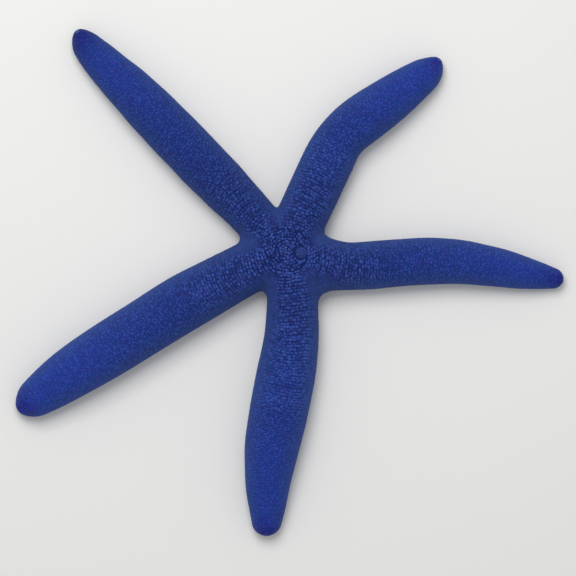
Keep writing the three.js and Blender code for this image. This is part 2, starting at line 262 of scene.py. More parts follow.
class Body:
    """The whole star as one smooth gap field: below zero inside the skin and above zero outside."""

    def __init__(self, settings):
        low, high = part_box("mouth")
        self.centre = np.array([(low.x + high.x) / 2, (low.y + high.y) / 2])
        self.arms = [Arm(i, self.centre, plan) for i, plan in enumerate(ARM_PLANS)]
        self.coat = settings.coat_depth
        corners = sorted((plan["corner"], plan["web"] * settings.web_breadth * MM) for plan in ARM_PLANS)
        self.corners, self.webs = np.array(corners).T
        self.unevenness = settings.unevenness
        waves = np.random.default_rng(settings.seed)
        directions = waves.normal(size=(SWELLS, 3))
        directions /= np.linalg.norm(directions, axis=1)[:, None]
        lengths = waves.uniform(*SWELL_LENGTHS, size=(SWELLS, 1)) * MM
        self.waves = 2 * math.pi * directions / lengths
        self.phases = waves.uniform(0, 2 * math.pi, size=SWELLS)

    def plan(self, x, y):
        """Station, distance across, half breadth and lift of places over each of the arms."""
        rows = []
        for arm in self.arms:
            parts = [arm.locate(x[i:i + BATCH], y[i:i + BATCH]) for i in range(0, len(x), BATCH)]
            station, across = np.concatenate(parts, axis=1)
            rows.append((station, across, arm.half(station), arm.lift(station)))
        return np.array(rows).transpose(1, 0, 2)

    def radius(self, x, y):
        return np.hypot(x - self.centre[0], y - self.centre[1])

    def bearing(self, x, y):
        return np.arctan2(y - self.centre[1], x - self.centre[0])

    def arm_gaps(self, plan, z):
        _, across, half, lift = plan
        return oval_gap(across, z - lift, half, 2 * HEIGHT_TO_BREADTH * half)

    def depth(self, z):
        """How deep the skin lies inside the body's outer shape, to leave room for the coat."""
        return self.coat * lerp(SOLE_DEPTH, 1.0, smoothstep(z, *COAT_DEEPENS))

    def swell(self, x, y, z):
        points = np.stack([x, y, np.broadcast_to(z, x.shape)], axis=1)
        return self.unevenness * np.sin(points @ self.waves.T + self.phases).sum(axis=1) / SWELLS

    def gap(self, x, y, z, plan=None):
        """How far points lie outside the skin."""
        plan = self.plan(x, y) if plan is None else plan
        station, across, half, lift = plan
        radius = self.radius(x, y)
        crown = oval_gap(radius, z, DISC_RADIUS, DISC_HEIGHT)
        gaps = np.partition(np.vstack([self.arm_gaps(plan, z), crown]), 1, axis=0)
        web = np.interp(np.degrees(self.bearing(x, y)), self.corners, self.webs, period=360)
        width = lerp(CROTCH_WEB, web, smoothstep(radius, *WEBS_WIDEN))
        skin = smooth_min(gaps[0], gaps[1], width) + self.depth(z) + self.swell(x, y, z)
        for k, arm in enumerate(self.arms):
            for at, hand, depth, over in arm.plan.get("dents", []):
                near = np.exp(-((station[k] - at * MM) / (over * MM)) ** 2)
                skin += depth * MM * near * smoothstep(hand * across[k] / half[k], 0.3, 1.0)
        furrow = np.full(len(x), 1.0)
        for k, arm in enumerate(self.arms):
            wide = furrow_half(arm, station[k], half[k])
            deep = FURROW_DEPTH * wide / FURROW_HALF
            rise = np.clip(z - lift[k], 0.0, None)
            cut = rounded(np.abs(across[k]) / wide, rise / deep, FURROW_POWER)
            furrow = np.minimum(furrow, (cut - 1.0) * wide + (station[k] < 0))
        bowl = rounded(radius / BOWL_RADIUS, np.clip(z, 0, None) / BOWL_HEIGHT, 3)
        furrow = np.minimum(furrow, (bowl - 1.0) * 3 * MM)
        skin = smooth_max(skin, -furrow, SOLE_EDGE)
        return smooth_max(skin, SOLE_COAT - z, SOLE_EDGE)

    def slope(self, points, step=0.08 * MM):
        """The gap field's gradient."""
        parts = []
        for axis in range(3):
            shift = np.zeros(3)
            shift[axis] = step
            ahead = self.gap(*(points + shift).T)
            behind = self.gap(*(points - shift).T)
            parts.append((ahead - behind) / (2 * step))
        return np.stack(parts, axis=1)

    def top(self, x, y):
        """How high the skin's upper side is over places on the floor."""
        low, high = np.full(len(x), 6 * MM), np.full(len(x), 22 * MM)
        plan = self.plan(x, y)
        for _ in range(14):
            z = (low + high) / 2
            outside = self.gap(x, y, z, plan) > 0
            low, high = np.where(outside, low, z), np.where(outside, z, high)
        return low

    def settle(self, points, rounds=3, longest=0.6 * MM):
        """Moves points onto the skin in short steps, and gives the skin's normals there."""
        for _ in range(rounds):
            slope = self.slope(points)
            square = np.maximum((slope * slope).sum(axis=1), 0.05)
            move = -slope * (self.gap(*points.T) / square)[:, None]
            length = np.linalg.norm(move, axis=1)
            move *= (np.minimum(length, longest) / np.maximum(length, 1e-12))[:, None]
            points = points + move
        slope = self.slope(points)
        return points, slope / np.linalg.norm(slope, axis=1)[:, None]

    def marks(self, points, plan=None, arm=None):
        """What the finishes and the coat read at points: the arm, its share and side, and so on."""
        x, y, z = points.T
        plan = self.plan(x, y) if plan is None else plan
        arm = self.arm_gaps(plan, z).argmin(axis=0) if arm is None else arm
        station, across, half, lift = plan[:, arm, np.arange(len(x))]
        waist = 2 * HEIGHT_TO_BREADTH * half * WAIST
        angle = np.arctan2(across, z - lift - waist)
        radius = self.radius(x, y)
        top_of_disc = (z > 7 * MM) * (1.0 - smoothstep(radius, *DISC_TOP_ENDS))
        reach = np.array([a.reach for a in self.arms])[arm]
        along = np.where(radius < 22 * MM, np.minimum(radius, np.clip(station, 0, None)), station)
        tint = np.array([a.plan["tint"] for a in self.arms])[arm]
        cap = np.array([a.plan["cap"] for a in self.arms])[arm]
        share = np.clip(along / reach, 0.0, 1.0)
        return {
            "arm": arm,
            "station": station,
            "angle": angle,
            "radius": radius,
            "bearing": self.bearing(x, y),
            "share": share,
            "side": np.abs(angle) / math.pi * (1.0 - 0.8 * top_of_disc),
            "height": z,
            "tint": tint * smoothstep(station, *TINT_STARTS) + cap * smoothstep(share, *CAP_STARTS),
        }

    def coarseness(self, arm, share):
        """How coarse the plates are at shares of the arms: 1 by the disc and 0 where they are fine."""
        coarse = np.array([plan["coarse"] for plan in ARM_PLANS])[arm]
        return 1.0 - smoothstep(share, 0.45 * coarse, 1.15 * coarse)

    def relief(self, marks):
        """How strongly the plates stand out, from 0 to 1."""
        coarse = self.coarseness(marks["arm"], marks["share"])
        fine = lerp(*FINE_RELIEF, smoothstep(marks["share"], *FINE_FLATTENS))
        most = lerp(*COARSE_RELIEF, smoothstep(marks["radius"], *COARSE_FLATTENS))
        start, end = lerp(0.22, 0.13, coarse), lerp(0.5, 0.4, coarse)
        flank = 1.0 - FLANK_FLAT * smoothstep(marks["side"], start, end)
        around = np.abs(np.degrees(marks["bearing"])[..., None] - self.corners)
        corner = 1.0 - smoothstep(np.minimum(around, 360 - around).min(axis=-1), 9, 21)
        web = corner * smoothstep(marks["radius"], 8.5 * MM, 12 * MM)
        web *= 1.0 - smoothstep(marks["radius"], 20 * MM, 30 * MM)
        return lerp(fine, most, coarse) * flank * (1.0 - WEB_FLAT * web)

    def chart(self, marks, on_disc=None, turn=0.0):
        """Places on the flat unwrap of the skin: five strips for the arms and two rounds for the disc."""
        if on_disc is None:
            on_disc = marks["radius"] < DISC_CHART
        u = 0.02 + 0.96 * np.clip(marks["station"], 0.0, None) / STRIP_LENGTH
        v = (marks["arm"] + 0.5 + 0.46 * (marks["angle"] + turn) / math.pi) / 6
        above = marks["height"] - CHART_LEVEL
        tilt = 0.05 * np.arctan2(marks["radius"], np.abs(above) + 3 * MM)
        disc_u = np.where(above > 0, 0.25, 0.75) + tilt * np.cos(marks["bearing"])
        disc_v = 5.5 / 6 + tilt * np.sin(marks["bearing"])
        return np.stack([np.where(on_disc, disc_u, u), np.where(on_disc, disc_v, v)], axis=-1)


# ---- Meshes -----------------------------------------------------------------------------------


class Heap:
    """Points, faces, places on the unwrap and values of many things, joined into one mesh piece."""

    def __init__(self):
        self.points, self.faces, self.charts, self.values = [], [], [], {}
        self.count = 0

    def add(self, points, faces, charts, by_corner=False, **values):
        """charts has one row for each point, or with by_corner one for each corner of the faces."""
        self.points.append(points)
        for group in faces:
            self.faces.append(group + self.count)
            self.charts.append(charts if by_corner else charts[group].reshape(-1, 2))
        for name, value in values.items():
            self.values.setdefault(name, []).append(np.broadcast_to(value, len(points)))
        self.count += len(points)

    def add_copies(self, form, points, charts, **values):
        """Adds copies of a form, each with one place on the unwrap and one value of each kind."""
        count, each = points.shape[:2]
        spread = {name: np.repeat(value, each) for name, value in values.items()}
        self.add(points.reshape(-1, 3), form.faces_of(count), form.patches(charts),
                 rise=np.tile(form.points[:, 2], count), **spread)

    def piece(self, name, material, slot, replaces=()):
        points = np.concatenate(self.points)
        corners = np.concatenate([group.ravel() for group in self.faces])
        sizes = np.concatenate([np.full(len(group), group.shape[1]) for group in self.faces])
        mesh = bpy.data.meshes.new(name)
        mesh.vertices.add(len(points))
        mesh.vertices.foreach_set("co", points.astype(np.float32).ravel())
        mesh.loops.add(len(corners))
        mesh.loops.foreach_set("vertex_index", corners.astype(np.int32))
        mesh.polygons.add(len(sizes))
        mesh.polygons.foreach_set("loop_start", (np.cumsum(sizes) - sizes).astype(np.int32))
        mesh.update(calc_edges=True)
        charts = mesh.uv_layers.new(name="OFBake")
        charts.uv.foreach_set("vector", np.concatenate(self.charts).astype(np.float32).ravel())
        for key, parts in self.values.items():
            attribute = mesh.attributes.new(key, "FLOAT", "POINT")
            attribute.data.foreach_set("value", np.concatenate(parts).astype(np.float32))
        mesh.shade_smooth()
        mesh.materials.append(material)
        obj = bpy.data.objects.new(name, mesh)
        bpy.context.scene.collection.objects.link(obj)
        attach(obj, "root")
        if replaces:
            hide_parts(*replaces)
        return obj


def round_faces(rings, sides):
    """The faces over a middle point and the rings round it: a fan of triangles, and bands of quads."""
    side = np.arange(sides)
    after = (side + 1) % sides
    fan = np.stack([np.zeros(sides, int), 1 + side, 1 + after], axis=1)
    inner = 1 + np.arange(rings - 1)[:, None] * sides
    outer = inner + sides
    bands = np.stack([inner + side, outer + side, outer + after, inner + after], axis=-1)
    return [fan, bands.reshape(-1, 4)]


PATCH = 0.0015  # half the breadth of one small thing's patch on the unwrap


class Form:
    """A small lathed shape, given by (radius, height) rings round its own axis, from its middle out.

    squareness 2 makes it round, and more makes it a rounded square.
    """

    def __init__(self, sides, rings, squareness=2.0):
        turns = np.arange(sides) * 2 * math.pi / sides
        c, s = np.cos(turns), np.sin(turns)
        size = (np.abs(c) ** squareness + np.abs(s) ** squareness) ** (-1 / squareness)
        outline = np.stack([c * size, s * size], axis=1)
        middle_height = rings[0][1]
        flat = np.concatenate([[[0.0, 0.0]], *[outline * radius for radius, _ in rings[1:]]])
        heights = np.concatenate([[middle_height], *[np.full(sides, h) for _, h in rings[1:]]])
        self.points = np.column_stack([flat, heights])
        self.faces = round_faces(len(rings) - 1, sides)

    def faces_of(self, count):
        """The faces of that many copies."""
        offsets = np.arange(count)[:, None, None] * len(self.points)
        return [(group[None] + offsets).reshape(-1, group.shape[1]) for group in self.faces]

    def copies(self, origins, ahead, left, up):
        """Each copy's points along its own scaled axes."""
        a, b, c = self.points.T
        return (origins[:, None] + a[None, :, None] * ahead[:, None]
                + b[None, :, None] * left[:, None] + c[None, :, None] * up[:, None])

    def patches(self, places):
        """Each copy's small patch on the unwrap, about its own place there."""
        flat = self.points[:, :2] / np.abs(self.points[:, :2]).max()
        return (places[:, None] + flat[None] * PATCH).reshape(-1, 2)


def unit(vectors):
    return vectors / np.maximum(np.linalg.norm(vectors, axis=-1, keepdims=True), 1e-12)


# ---- The skin ---------------------------------------------------------------------------------

SKIN_MARGIN = 2 * MM  # how far past the solids' box the field is worked out
SKIN_NEAR = 3 * MM  # how far past the arms' and the disc's edges it is worked out
FAR_OUTSIDE = 5 * MM  # what it is taken to be elsewhere


def skin_heap(body, voxel):
    """The skin's mesh, from the zero level of the body's gap field."""
    axes = [np.arange(a - SKIN_MARGIN, b + SKIN_MARGIN, voxel) for a, b in zip(*CAD_BOX)]
    columns = [grid.ravel() for grid in np.meshgrid(axes[0], axes[1], indexing="ij")]
    plan = body.plan(*columns)
    near = (np.abs(plan[1]) - plan[2]).min(axis=0) < SKIN_NEAR
    near |= body.radius(*columns) < DISC_RADIUS + SKIN_NEAR
    values = np.full((len(columns[0]), len(axes[2])), FAR_OUTSIDE)
    x, y, plan = columns[0][near], columns[1][near], plan[:, :, near]
    for level, z in enumerate(axes[2]):
        values[near, level] = body.gap(x, y, np.full(len(x), z), plan)
    grid = openvdb.FloatGrid(FAR_OUTSIDE)
    grid.copyFromArray(values.reshape([len(axis) for axis in axes]).astype(np.float32))
    points, quads = grid.convertToQuads(isovalue=0.0)
    points = points * voxel + np.array([axis[0] for axis in axes])
    points, _ = body.settle(points, rounds=2)
    plan = body.plan(points[:, 0], points[:, 1])
    marks = body.marks(points, plan)
    quads = quads.astype(np.int64)
    middles = points[quads].mean(axis=1)
    faces = body.marks(middles)
    corner = quads.ravel()
    own = body.marks(points[corner], plan[:, :, corner], np.repeat(faces["arm"], 4))
    turn = 2 * math.pi * np.round((np.repeat(faces["angle"], 4) - own["angle"]) / (2 * math.pi))
    own["height"] = np.repeat(faces["height"], 4)
    charts = body.chart(own, np.repeat(faces["radius"] < DISC_CHART, 4), turn)
    heap = Heap()
    heap.add(points, [quads], charts, by_corner=True, share=marks["share"], side=marks["side"],
             tint=marks["tint"], relief=body.relief(marks))
    return heap


# ---- The coat of plates -----------------------------------------------------------------------

COARSE_PLATE = Form(10, [(0, 1), (0.48, 0.92), (0.8, 0.52), (1, 0)], squareness=2.6)
FINE_PLATE = Form(7, [(0, 1), (0.38, 0.84), (0.72, 0.34), (1, 0)], squareness=2.2)
SOLE_PLATE = Form(7, [(0, 1), (0.5, 0.8), (1, 0)], squareness=2.6)
TERMINAL_PLATE = Form(20, [(0, 1), (0.25, 0.94), (0.5, 0.75), (0.75, 0.4), (0.9, 0.13), (1, 0)],
                      squareness=2.2)
SINK = 0.03 * MM  # how far a plate's rim runs in under the skin
OVERHANG = 0.42  # most that a flat plate may leave the skin before it is draped, in half sizes
TERMINAL_OVERHANG = 1.2  # the same for the plates that fold over the noses
ROW_ARCS = np.linspace(0, 4, 400)  # places down from the crest, in half breadths of the arm
ROW_PLATES = 121  # how many plates a row is drawn with, before those past the furrow are left out
FLANK_BREADTH = 0.62  # breadth of the coarse plates on the flanks, as a share of the crest's
FURROW_LIP = 1.1 * MM  # bare lip between the furrow and the rows
PAST_SOLE = 1.9  # how far down the rows run where the furrow has closed, in half breadths
ROW_WAVE = 0.32  # how far coarse rows wave along the arm, in pitches
WAVE_DRIFT = 0.45  # how far the wave moves on from one row to the next, in radians
COARSE_SCATTER = 0.17  # how far coarse plates stray off their rows, in pitches
BOW_RADIUS = 12 * MM  # least radius of the rows' bow round the disc's centre
BOW_REACH = 8 * MM  # how far across the arm a row bows
STRIDE = 0.4 * MM  # how far ahead the way along an arm is looked for
SOLE_SIDE = 0.68  # how far round from the crest the sole's plates start, as a share of the way
ROWS_END = 18 * MM  # the arms' plates within this of the disc's centre keep its rings clear
PALE_PLATES = [(-0.3, 0.7), (-1.1, -2.5), (-0.2, -1.2), (1.0, 0.4), (-4.5, -8.7)]  # mm from the centre
TERMINAL_PALENESS = (1.0, 0.35, 0.3, 0.35, 0.3)


class Beds(NamedTuple):
    """Where plates sit, which way they point, their half sizes, how high they rise and how pale."""

    points: np.ndarray
    ahead: np.ndarray
    length: np.ndarray
    width: np.ndarray
    rise: np.ndarray
    pale: np.ndarray

    def only(self, chosen):
        return Beds(*(values[chosen] for values in self))


def unit_outline():
    """Arc length from the crest, distance across and height of a section of half breadth 1."""
    waist = 2 * HEIGHT_TO_BREADTH * WAIST
    turns = np.radians(np.linspace(0, 90, 60))
    across = list(np.sin(turns))
    up = list(waist + (2 * HEIGHT_TO_BREADTH - waist) * np.cos(turns))
    for turn in np.radians(np.linspace(1, 80, 60)):
        drop = BELOW_WAIST * waist * math.sin(turn) ** (2 / FLANK_POWER)
        if drop < waist:
            across.append(math.cos(turn) ** (2 / FLANK_POWER))
            up.append(waist - drop)
    across += [0.3, 0.1]
    up += [0.0, 0.0]
    across, up = np.array(across), np.array(up)
    steps = np.hypot(np.diff(across), np.diff(up))
    return np.concatenate([[0.0], np.cumsum(steps)]), across, up


OUTLINE_ARC, OUTLINE_ACROSS, OUTLINE_UP = unit_outline()


def across_arm(arm, station, across, up):
    """Points to the right of an arm's course and up from its sole, at stations along it."""
    heading = arm.heading(station)
    x, y = arm.point(station)
    up = up + arm.lift(station)
    return np.stack([x + across * np.sin(heading), y - across * np.cos(heading), up], axis=-1)


def over_arm(arm, station, arc):
    """Points of an arm's oval at stations, arc being the length round from the crest in halves."""
    half = arm.half(station)
    across = np.sign(arc) * np.interp(np.abs(arc), OUTLINE_ARC, OUTLINE_ACROSS) * half
    return across_arm(arm, station, across, np.interp(np.abs(arc), OUTLINE_ARC, OUTLINE_UP) * half)


def tipward(arm, station, arc):
    """The way towards the arm's tip at places on its oval."""
    last = arm.reach - 0.05 * MM
    ahead = over_arm(arm, np.minimum(station + STRIDE, last), arc)
    return ahead - over_arm(arm, np.minimum(station, last) - STRIDE, arc)


def one_row(half, broad, coarse, rng):
    """The arcs and breadths of the plates of one row, which are narrower down coarse flanks."""
    ratio = lerp(1.0, lerp(1.0, FLANK_BREADTH, coarse), smoothstep(ROW_ARCS, 0.3, 1.1))
    warp = np.concatenate([[0.0], np.cumsum((ratio[1:] + ratio[:-1]) / 2 * np.diff(ROW_ARCS))])
    lip = (FURROW_HALF + FURROW_LIP) / half
    last = np.interp(-lip, -OUTLINE_ACROSS[::-1], OUTLINE_ARC[::-1]) if lip < 0.5 else PAST_SOLE
    uneven = lerp(0.28, 0.42, coarse)
    sizes = broad * rng.uniform(1 - uneven, 1 + uneven, ROW_PLATES)
    steps = np.cumsum(sizes) - sizes / 2
    steps = (steps - steps[ROW_PLATES // 2] + rng.uniform(-0.5, 0.5) * broad) / half
    arc = np.sign(steps) * np.interp(np.abs(steps), ROW_ARCS, warp)
    inside = np.abs(arc) < last
    return arc[inside], sizes[inside] * np.interp(np.abs(arc[inside]), warp, ratio)


def arm_rows(body, arm, plates, rng):
    """Where the plates of one arm sit, as stations, arcs, lengths and widths.

    Rows run across the arm. Near the disc they bow round it, and their plates differ in breadth;
    further out the plates are even in breadth but scattered off their rows.
    """
    rows = []
    station = ROWS_START
    phase = rng.uniform(0, 6)
    while station < arm.reach - 0.3 * MM:
        half = float(arm.half(station))
        coarse = float(body.coarseness(arm.number, station / arm.reach))
        finer = lerp(1.0, plates.tip_size, smoothstep(station / arm.reach, 0.5, 0.9))
        pitch = lerp(plates.fine_pitch, plates.coarse_pitch, coarse) * finer
        broad = lerp(plates.fine_breadth, plates.coarse_breadth, coarse) * finer
        arc, width = one_row(half, broad, coarse, rng)
        bow = 0.5 * np.clip(arc * half, -BOW_REACH, BOW_REACH) ** 2 / max(station, BOW_RADIUS)
        phase += rng.normal(0, WAVE_DRIFT)
        waves = ROW_WAVE * pitch * np.sin(arc * 4 + phase) * coarse
        scatter = lerp(plates.scatter, COARSE_SCATTER, coarse)
        stray, shift = rng.uniform(-scatter, scatter, (2, len(arc)))
        length = np.full(len(arc), pitch)
        rows.append((station - bow + waves + stray * pitch, arc + shift * broad / half, length, width))
        steep = abs(float(arm.half(station + 0.2 * MM)) - half) / (0.2 * MM)
        station += max(pitch / math.hypot(1.0, 1.3 * steep), 0.12 * MM)
    return np.concatenate(rows, axis=1)


def arm_beds(body, arm, plates, rng):
    """The beds of one arm's plates, and which of them have coarse, fine and sole plates."""
    station, arc, length, width = arm_rows(body, arm, plates, rng)
    points, _ = body.settle(over_arm(arm, station, arc))
    marks = body.marks(points)
    keep = (marks["arm"] == arm.number) & (points[:, 2] > 0.05 * MM)
    keep &= (marks["radius"] > ROWS_START - 0.6 * MM) | (points[:, 2] < 7 * MM)
    coarse = body.coarseness(arm.number, marks["share"]) > 0.3
    sole = marks["side"] > SOLE_SIDE
    beds = Beds(points, tipward(arm, station, arc), 0.55 * length, 0.63 * width,
                plates.crest_rise * body.relief(marks), np.zeros(len(points)))
    return beds, keep & coarse & ~sole, keep & ~coarse & ~sole, keep & sole


def disc_rings(body, plates, rng):
    """The rings of plates on top of the disc, as points and directions away from its centre."""
    low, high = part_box("madreporite")
    sieve = np.array([(low.x + high.x) / 2, (low.y + high.y) / 2])
    places, outward = [body.centre], [[1.0, 0.0, 0.0]]
    radius = plates.ring_pitch
    while radius < RINGS_END:
        count = round(2 * math.pi * radius / (1.08 * plates.ring_pitch))
        turns = (np.arange(count) + rng.uniform(0, 1)) * 2 * math.pi / count
        for turn in turns + rng.uniform(-0.24, 0.24, count) * 2 * math.pi / count:
            out = np.array([math.cos(turn), math.sin(turn)])
            wobble = 1 + 0.05 * math.sin(2 * turn + 1) + 0.04 * math.sin(5 * turn + radius / MM)
            place = body.centre + out * (radius * wobble + rng.uniform(-0.24, 0.24) * plates.ring_pitch)
            if np.linalg.norm(place - sieve) > (high.x - low.x) / 2 + 0.4 * MM:
                places.append(place)
                outward.append([*out, 0.0])
        radius += plates.ring_pitch
    x, y = np.array(places).T
    return np.column_stack([x, y, body.top(x, y)]), np.array(outward)


def disc_beds(body, plates, laid, rng):
    """The beds of the disc's plates, where none of the arms' plates is laid already."""
    taken = KDTree(len(laid))
    for index, point in enumerate(laid):
        taken.insert(point, index)
    taken.balance()
    points, outward = disc_rings(body, plates, rng)
    points, normals = body.settle(points)
    free = np.array([taken.find(point)[2] > 0.78 * plates.ring_pitch for point in points])
    free &= normals[:, 2] > 0.75
    points, outward = points[free], outward[free]
    spots = body.centre + np.array(PALE_PLATES) * MM
    near = np.hypot(*(points[:, None, :2] - spots).transpose(2, 0, 1)).min(axis=1)
    pale = np.where(near < 0.6 * MM, 1.0, 0.0)
    sizes = plates.ring_pitch * (1.0 - 0.2 * pale)
    rise = plates.crest_rise * body.relief(body.marks(points))
    return Beds(points, outward, 0.54 * sizes, 0.64 * sizes, rise, pale)


def lay_plates(heap, body, form, beds, rng, overhang=OVERHANG):
    """Drapes a plate over the skin at each bed, and adds the plates to a heap.

    A plate that would hang over a sharp fold of the skin is left out.
    """
    normals = unit(body.slope(beds.points))
    ahead = unit(beds.ahead - normals * (beds.ahead * normals).sum(axis=1)[:, None])
    left = np.cross(normals, ahead)
    twist = rng.normal(0, 0.12, len(normals))[:, None]
    ahead, left = unit(ahead + left * twist), unit(left - ahead * twist)
    size = rng.uniform(0.85, 1.12, (len(normals), 1))
    flat = form.copies(beds.points, ahead * beds.length[:, None] * size,
                       left * beds.width[:, None] * size, np.zeros_like(normals))
    drop = body.gap(*flat.reshape(-1, 3).T).reshape(len(flat), -1)
    fits = np.abs(drop).max(axis=1) < overhang * np.maximum(beds.length, beds.width)
    if not fits.any():
        return
    beds, normals, flat, drop = beds.only(fits), normals[fits], flat[fits], drop[fits]
    height = (beds.rise * rng.uniform(0.6, 1.35, len(flat)))[:, None] * form.points[:, 2]
    flat += normals[:, None] * (height - drop - SINK * (form.points[:, 2] == 0))[..., None]
    flat[..., 2] = np.maximum(flat[..., 2], THIN)
    marks = body.marks(beds.points)
    heap.add_copies(form, flat, body.chart(marks), share=marks["share"], side=marks["side"],
                    tint=marks["tint"], relief=body.relief(marks),
                    tone=rng.normal(0, 1, len(flat)).clip(-1.5, 1.8), pale=beds.pale)


def plate_pieces(body, plates, finish):
    """The plates of each arm's back and flanks and of its sole, and the plates of the disc."""
    rng = np.random.default_rng(plates.seed)
    laid = []
    for arm in body.arms:
        beds, coarse, fine, sole = arm_beds(body, arm, plates, rng)
        inner = body.radius(*beds.points[:, :2].T) < ROWS_END
        laid.append(beds.points[(coarse | fine) & inner])
        back, under = Heap(), Heap()
        lay_plates(back, body, COARSE_PLATE, beds.only(coarse), rng)
        lay_plates(back, body, FINE_PLATE, beds.only(fine), rng)
        lay_plates(under, body, SOLE_PLATE, beds.only(sole), rng)
        back.piece(f"plates_arm_{arm.number + 1}", finish, "skin")
        under.piece(f"plates_sole_{arm.number + 1}", finish, "skin")
    rings = Heap()
    lay_plates(rings, body, COARSE_PLATE, disc_beds(body, plates, np.concatenate(laid), rng), rng)
    rings.piece("plates_disc", finish, "skin")


def terminal_piece(body, plates, finish):
    """The smooth plate that ends each arm, over the nose."""
    rng = np.random.default_rng(plates.seed + 2)
    heap = Heap()
    for arm, pale in zip(body.arms, TERMINAL_PALENESS):
        station, arc = np.array([arm.reach - 0.7 * MM]), np.zeros(1)
        points, _ = body.settle(over_arm(arm, station, arc), rounds=4)
        sizes = np.array([[1.3], [1.5], [0.11]]) * MM
        beds = Beds(points, tipward(arm, station, arc), *sizes, np.array([pale]))
        lay_plates(heap, body, TERMINAL_PLATE, beds, rng, TERMINAL_OVERHANG)
    heap.piece("terminal_plates", finish, "skin")


# ---- The underside ----------------------------------------------------------------------------

# A tube foot from the middle of its sucker to its root, a blunt furrow spine, and a jaw.
FOOT = Form(8, [(0, 0.96), (0.55, 1), (1, 0.98), (1.02, 0.9), (0.62, 0.83), (0.57, 0.62), (0.68, 0.5),
                (0.57, 0.36), (0.68, 0.2), (0.76, 0)])
SPINE = Form(7, [(0, 1), (0.5, 0.95), (0.86, 0.74), (1, 0.35), (0.9, 0)])
JAW = Form(16, [(0, 1), (0.4, 0.95), (0.75, 0.72), (0.95, 0.35), (1, 0)], squareness=2.8)
FEET_START, FEET_END = 5.4 * MM, 4 * MM  # from the disc's centre, and short of the arm's end
FOOT_STAGGER = 0.35  # how far the feet of one side stand on from the other side's, in spacings
FOOT_ROOT_OUT, FOOT_TIP_OUT = 0.45, 0.46  # how far aside they stand, in furrow half breadths
FOOT_ROOT_UP = 0.86  # height of their roots, as a share of the furrow's depth
FOOT_SWAY = 0.25  # most that their tips sway, in furrow half breadths
SPINES_START, SPINES_END = 6 * MM, 3 * MM  # the same for the furrow spines
SPINE_CLEAR = 0.2 * MM  # least height of a spine's tip over the floor
# For each row of furrow spines, how far from the furrow's edge its roots and its tips lie, in
# millimetres, and how thick the spines are beside the usual.
SPINE_ROWS = [(0.35, -0.55, 0.9), (1.15, 0.3, 1.05)]
# A jaw's two halves start this far out and aside and this high, and are this broad, long and deep,
# all in millimetres.
JAW_ROOT, JAW_SIZE = (3.1, 0.55, 1.9), (0.62, 1.75, 1.35)
# Where a jaw's spines stand, one on each side: how far out and how far aside the root is, and then
# the tip, in millimetres from the mouth's middle.
JAW_SPINES = [(1.75, 0.28, 0.75, 0.2), (2.3, 0.85, 1.35, 0.6), (3.1, 1.1, 2.2, 1.35)]
JAW_SPINE_ROOT, JAW_SPINE_TIP = 1.05 * MM, 0.62 * MM  # their heights over the floor
JAW_SPINE_RADIUS = 0.3 * MM
# The membrane's height over the floor at some radii, both in millimetres.
MEMBRANE = [(0, 2.5), (0.5, 2.3), (0.9, 1.75), (1.5, 1.3), (3, 1.15), (6, 1.05)]
PLEAT = 0.07 * MM  # how high its pleats stand
EYE_CUPS = 30
EYE_RINGS, EYE_SIDES = 21, 34


def furrow_sizes(arm, station):
    wide = furrow_half(arm, station, arm.half(station))
    return wide, FURROW_DEPTH * wide / FURROW_HALF


def stations_along(arm, start, end, pitch):
    """Stations from start to end, closer together where the arm narrows."""
    found, station = [], start
    while station < end:
        found.append(station)
        station += pitch * float(lerp(0.6, 1.0, smoothstep(arm.half(station), 2 * MM, 9 * MM)))
    return np.array(found)


def add_pegs(heap, body, form, roots, tips, radius, rng):
    """Adds a peg from each root to its tip, of the form's shape and the given radius."""
    up = tips - roots
    axis = unit(up)
    sideways = unit(np.cross(axis, np.array([0.3, 0.2, 1.0])))
    other = np.cross(axis, sideways)
    points = form.copies(roots, sideways * radius[:, None], other * radius[:, None], up)
    points[..., 2] = np.maximum(points[..., 2], THIN)
    tone = rng.normal(0, 1, len(roots))
    heap.add_copies(form, points, body.chart(body.marks(roots)), tone=tone)


def add_foot_row(heap, body, arm, hand, settings, rng):
    """Adds a row of tube feet on one side of a furrow, staggered to the row on its other side."""
    start = FEET_START + (FOOT_STAGGER * settings.foot_spacing if hand > 0 else 0)
    station = stations_along(arm, start, arm.reach - FEET_END, settings.foot_spacing)
    wide, deep = furrow_sizes(arm, station)
    sway, lean = rng.uniform(-FOOT_SWAY, FOOT_SWAY, (2, len(station))) * wide
    roots = across_arm(arm, station, hand * FOOT_ROOT_OUT * wide, FOOT_ROOT_UP * deep)
    floor = 0.1 * MM + rng.uniform(0, 0.35, len(station)) * MM
    tips = across_arm(arm, station + sway, hand * FOOT_TIP_OUT * wide + lean * 0.4, floor)
    add_pegs(heap, body, FOOT, roots, tips, settings.foot_radius * wide / FURROW_HALF, rng)


def add_spine_row(heap, body, arm, hand, row, settings, rng):
    """Adds one row of blunt spines along one lip of a furrow."""
    root_out, tip_out, size = SPINE_ROWS[row]
    start = SPINES_START + row * 0.5 * settings.spine_spacing
    station = stations_along(arm, start, arm.reach - SPINES_END, settings.spine_spacing)
    wide, _ = furrow_sizes(arm, station)
    near = wide / FURROW_HALF
    jitter = rng.uniform(-0.12, 0.12, (3, len(station))) * MM
    root_up = (0.52 - 0.1 * row) * MM * near
    roots = across_arm(arm, station, hand * (wide + root_out * MM * near), root_up)
    tip_up = np.maximum((0.3 - 0.06 * row) * MM * near + jitter[2] * 0.6, SPINE_CLEAR)
    tips = across_arm(arm, station + jitter[0], hand * (wide + tip_out * MM * near) + jitter[1], tip_up)
    add_pegs(heap, body, SPINE, roots, tips, settings.spine_radius * size * near, rng)


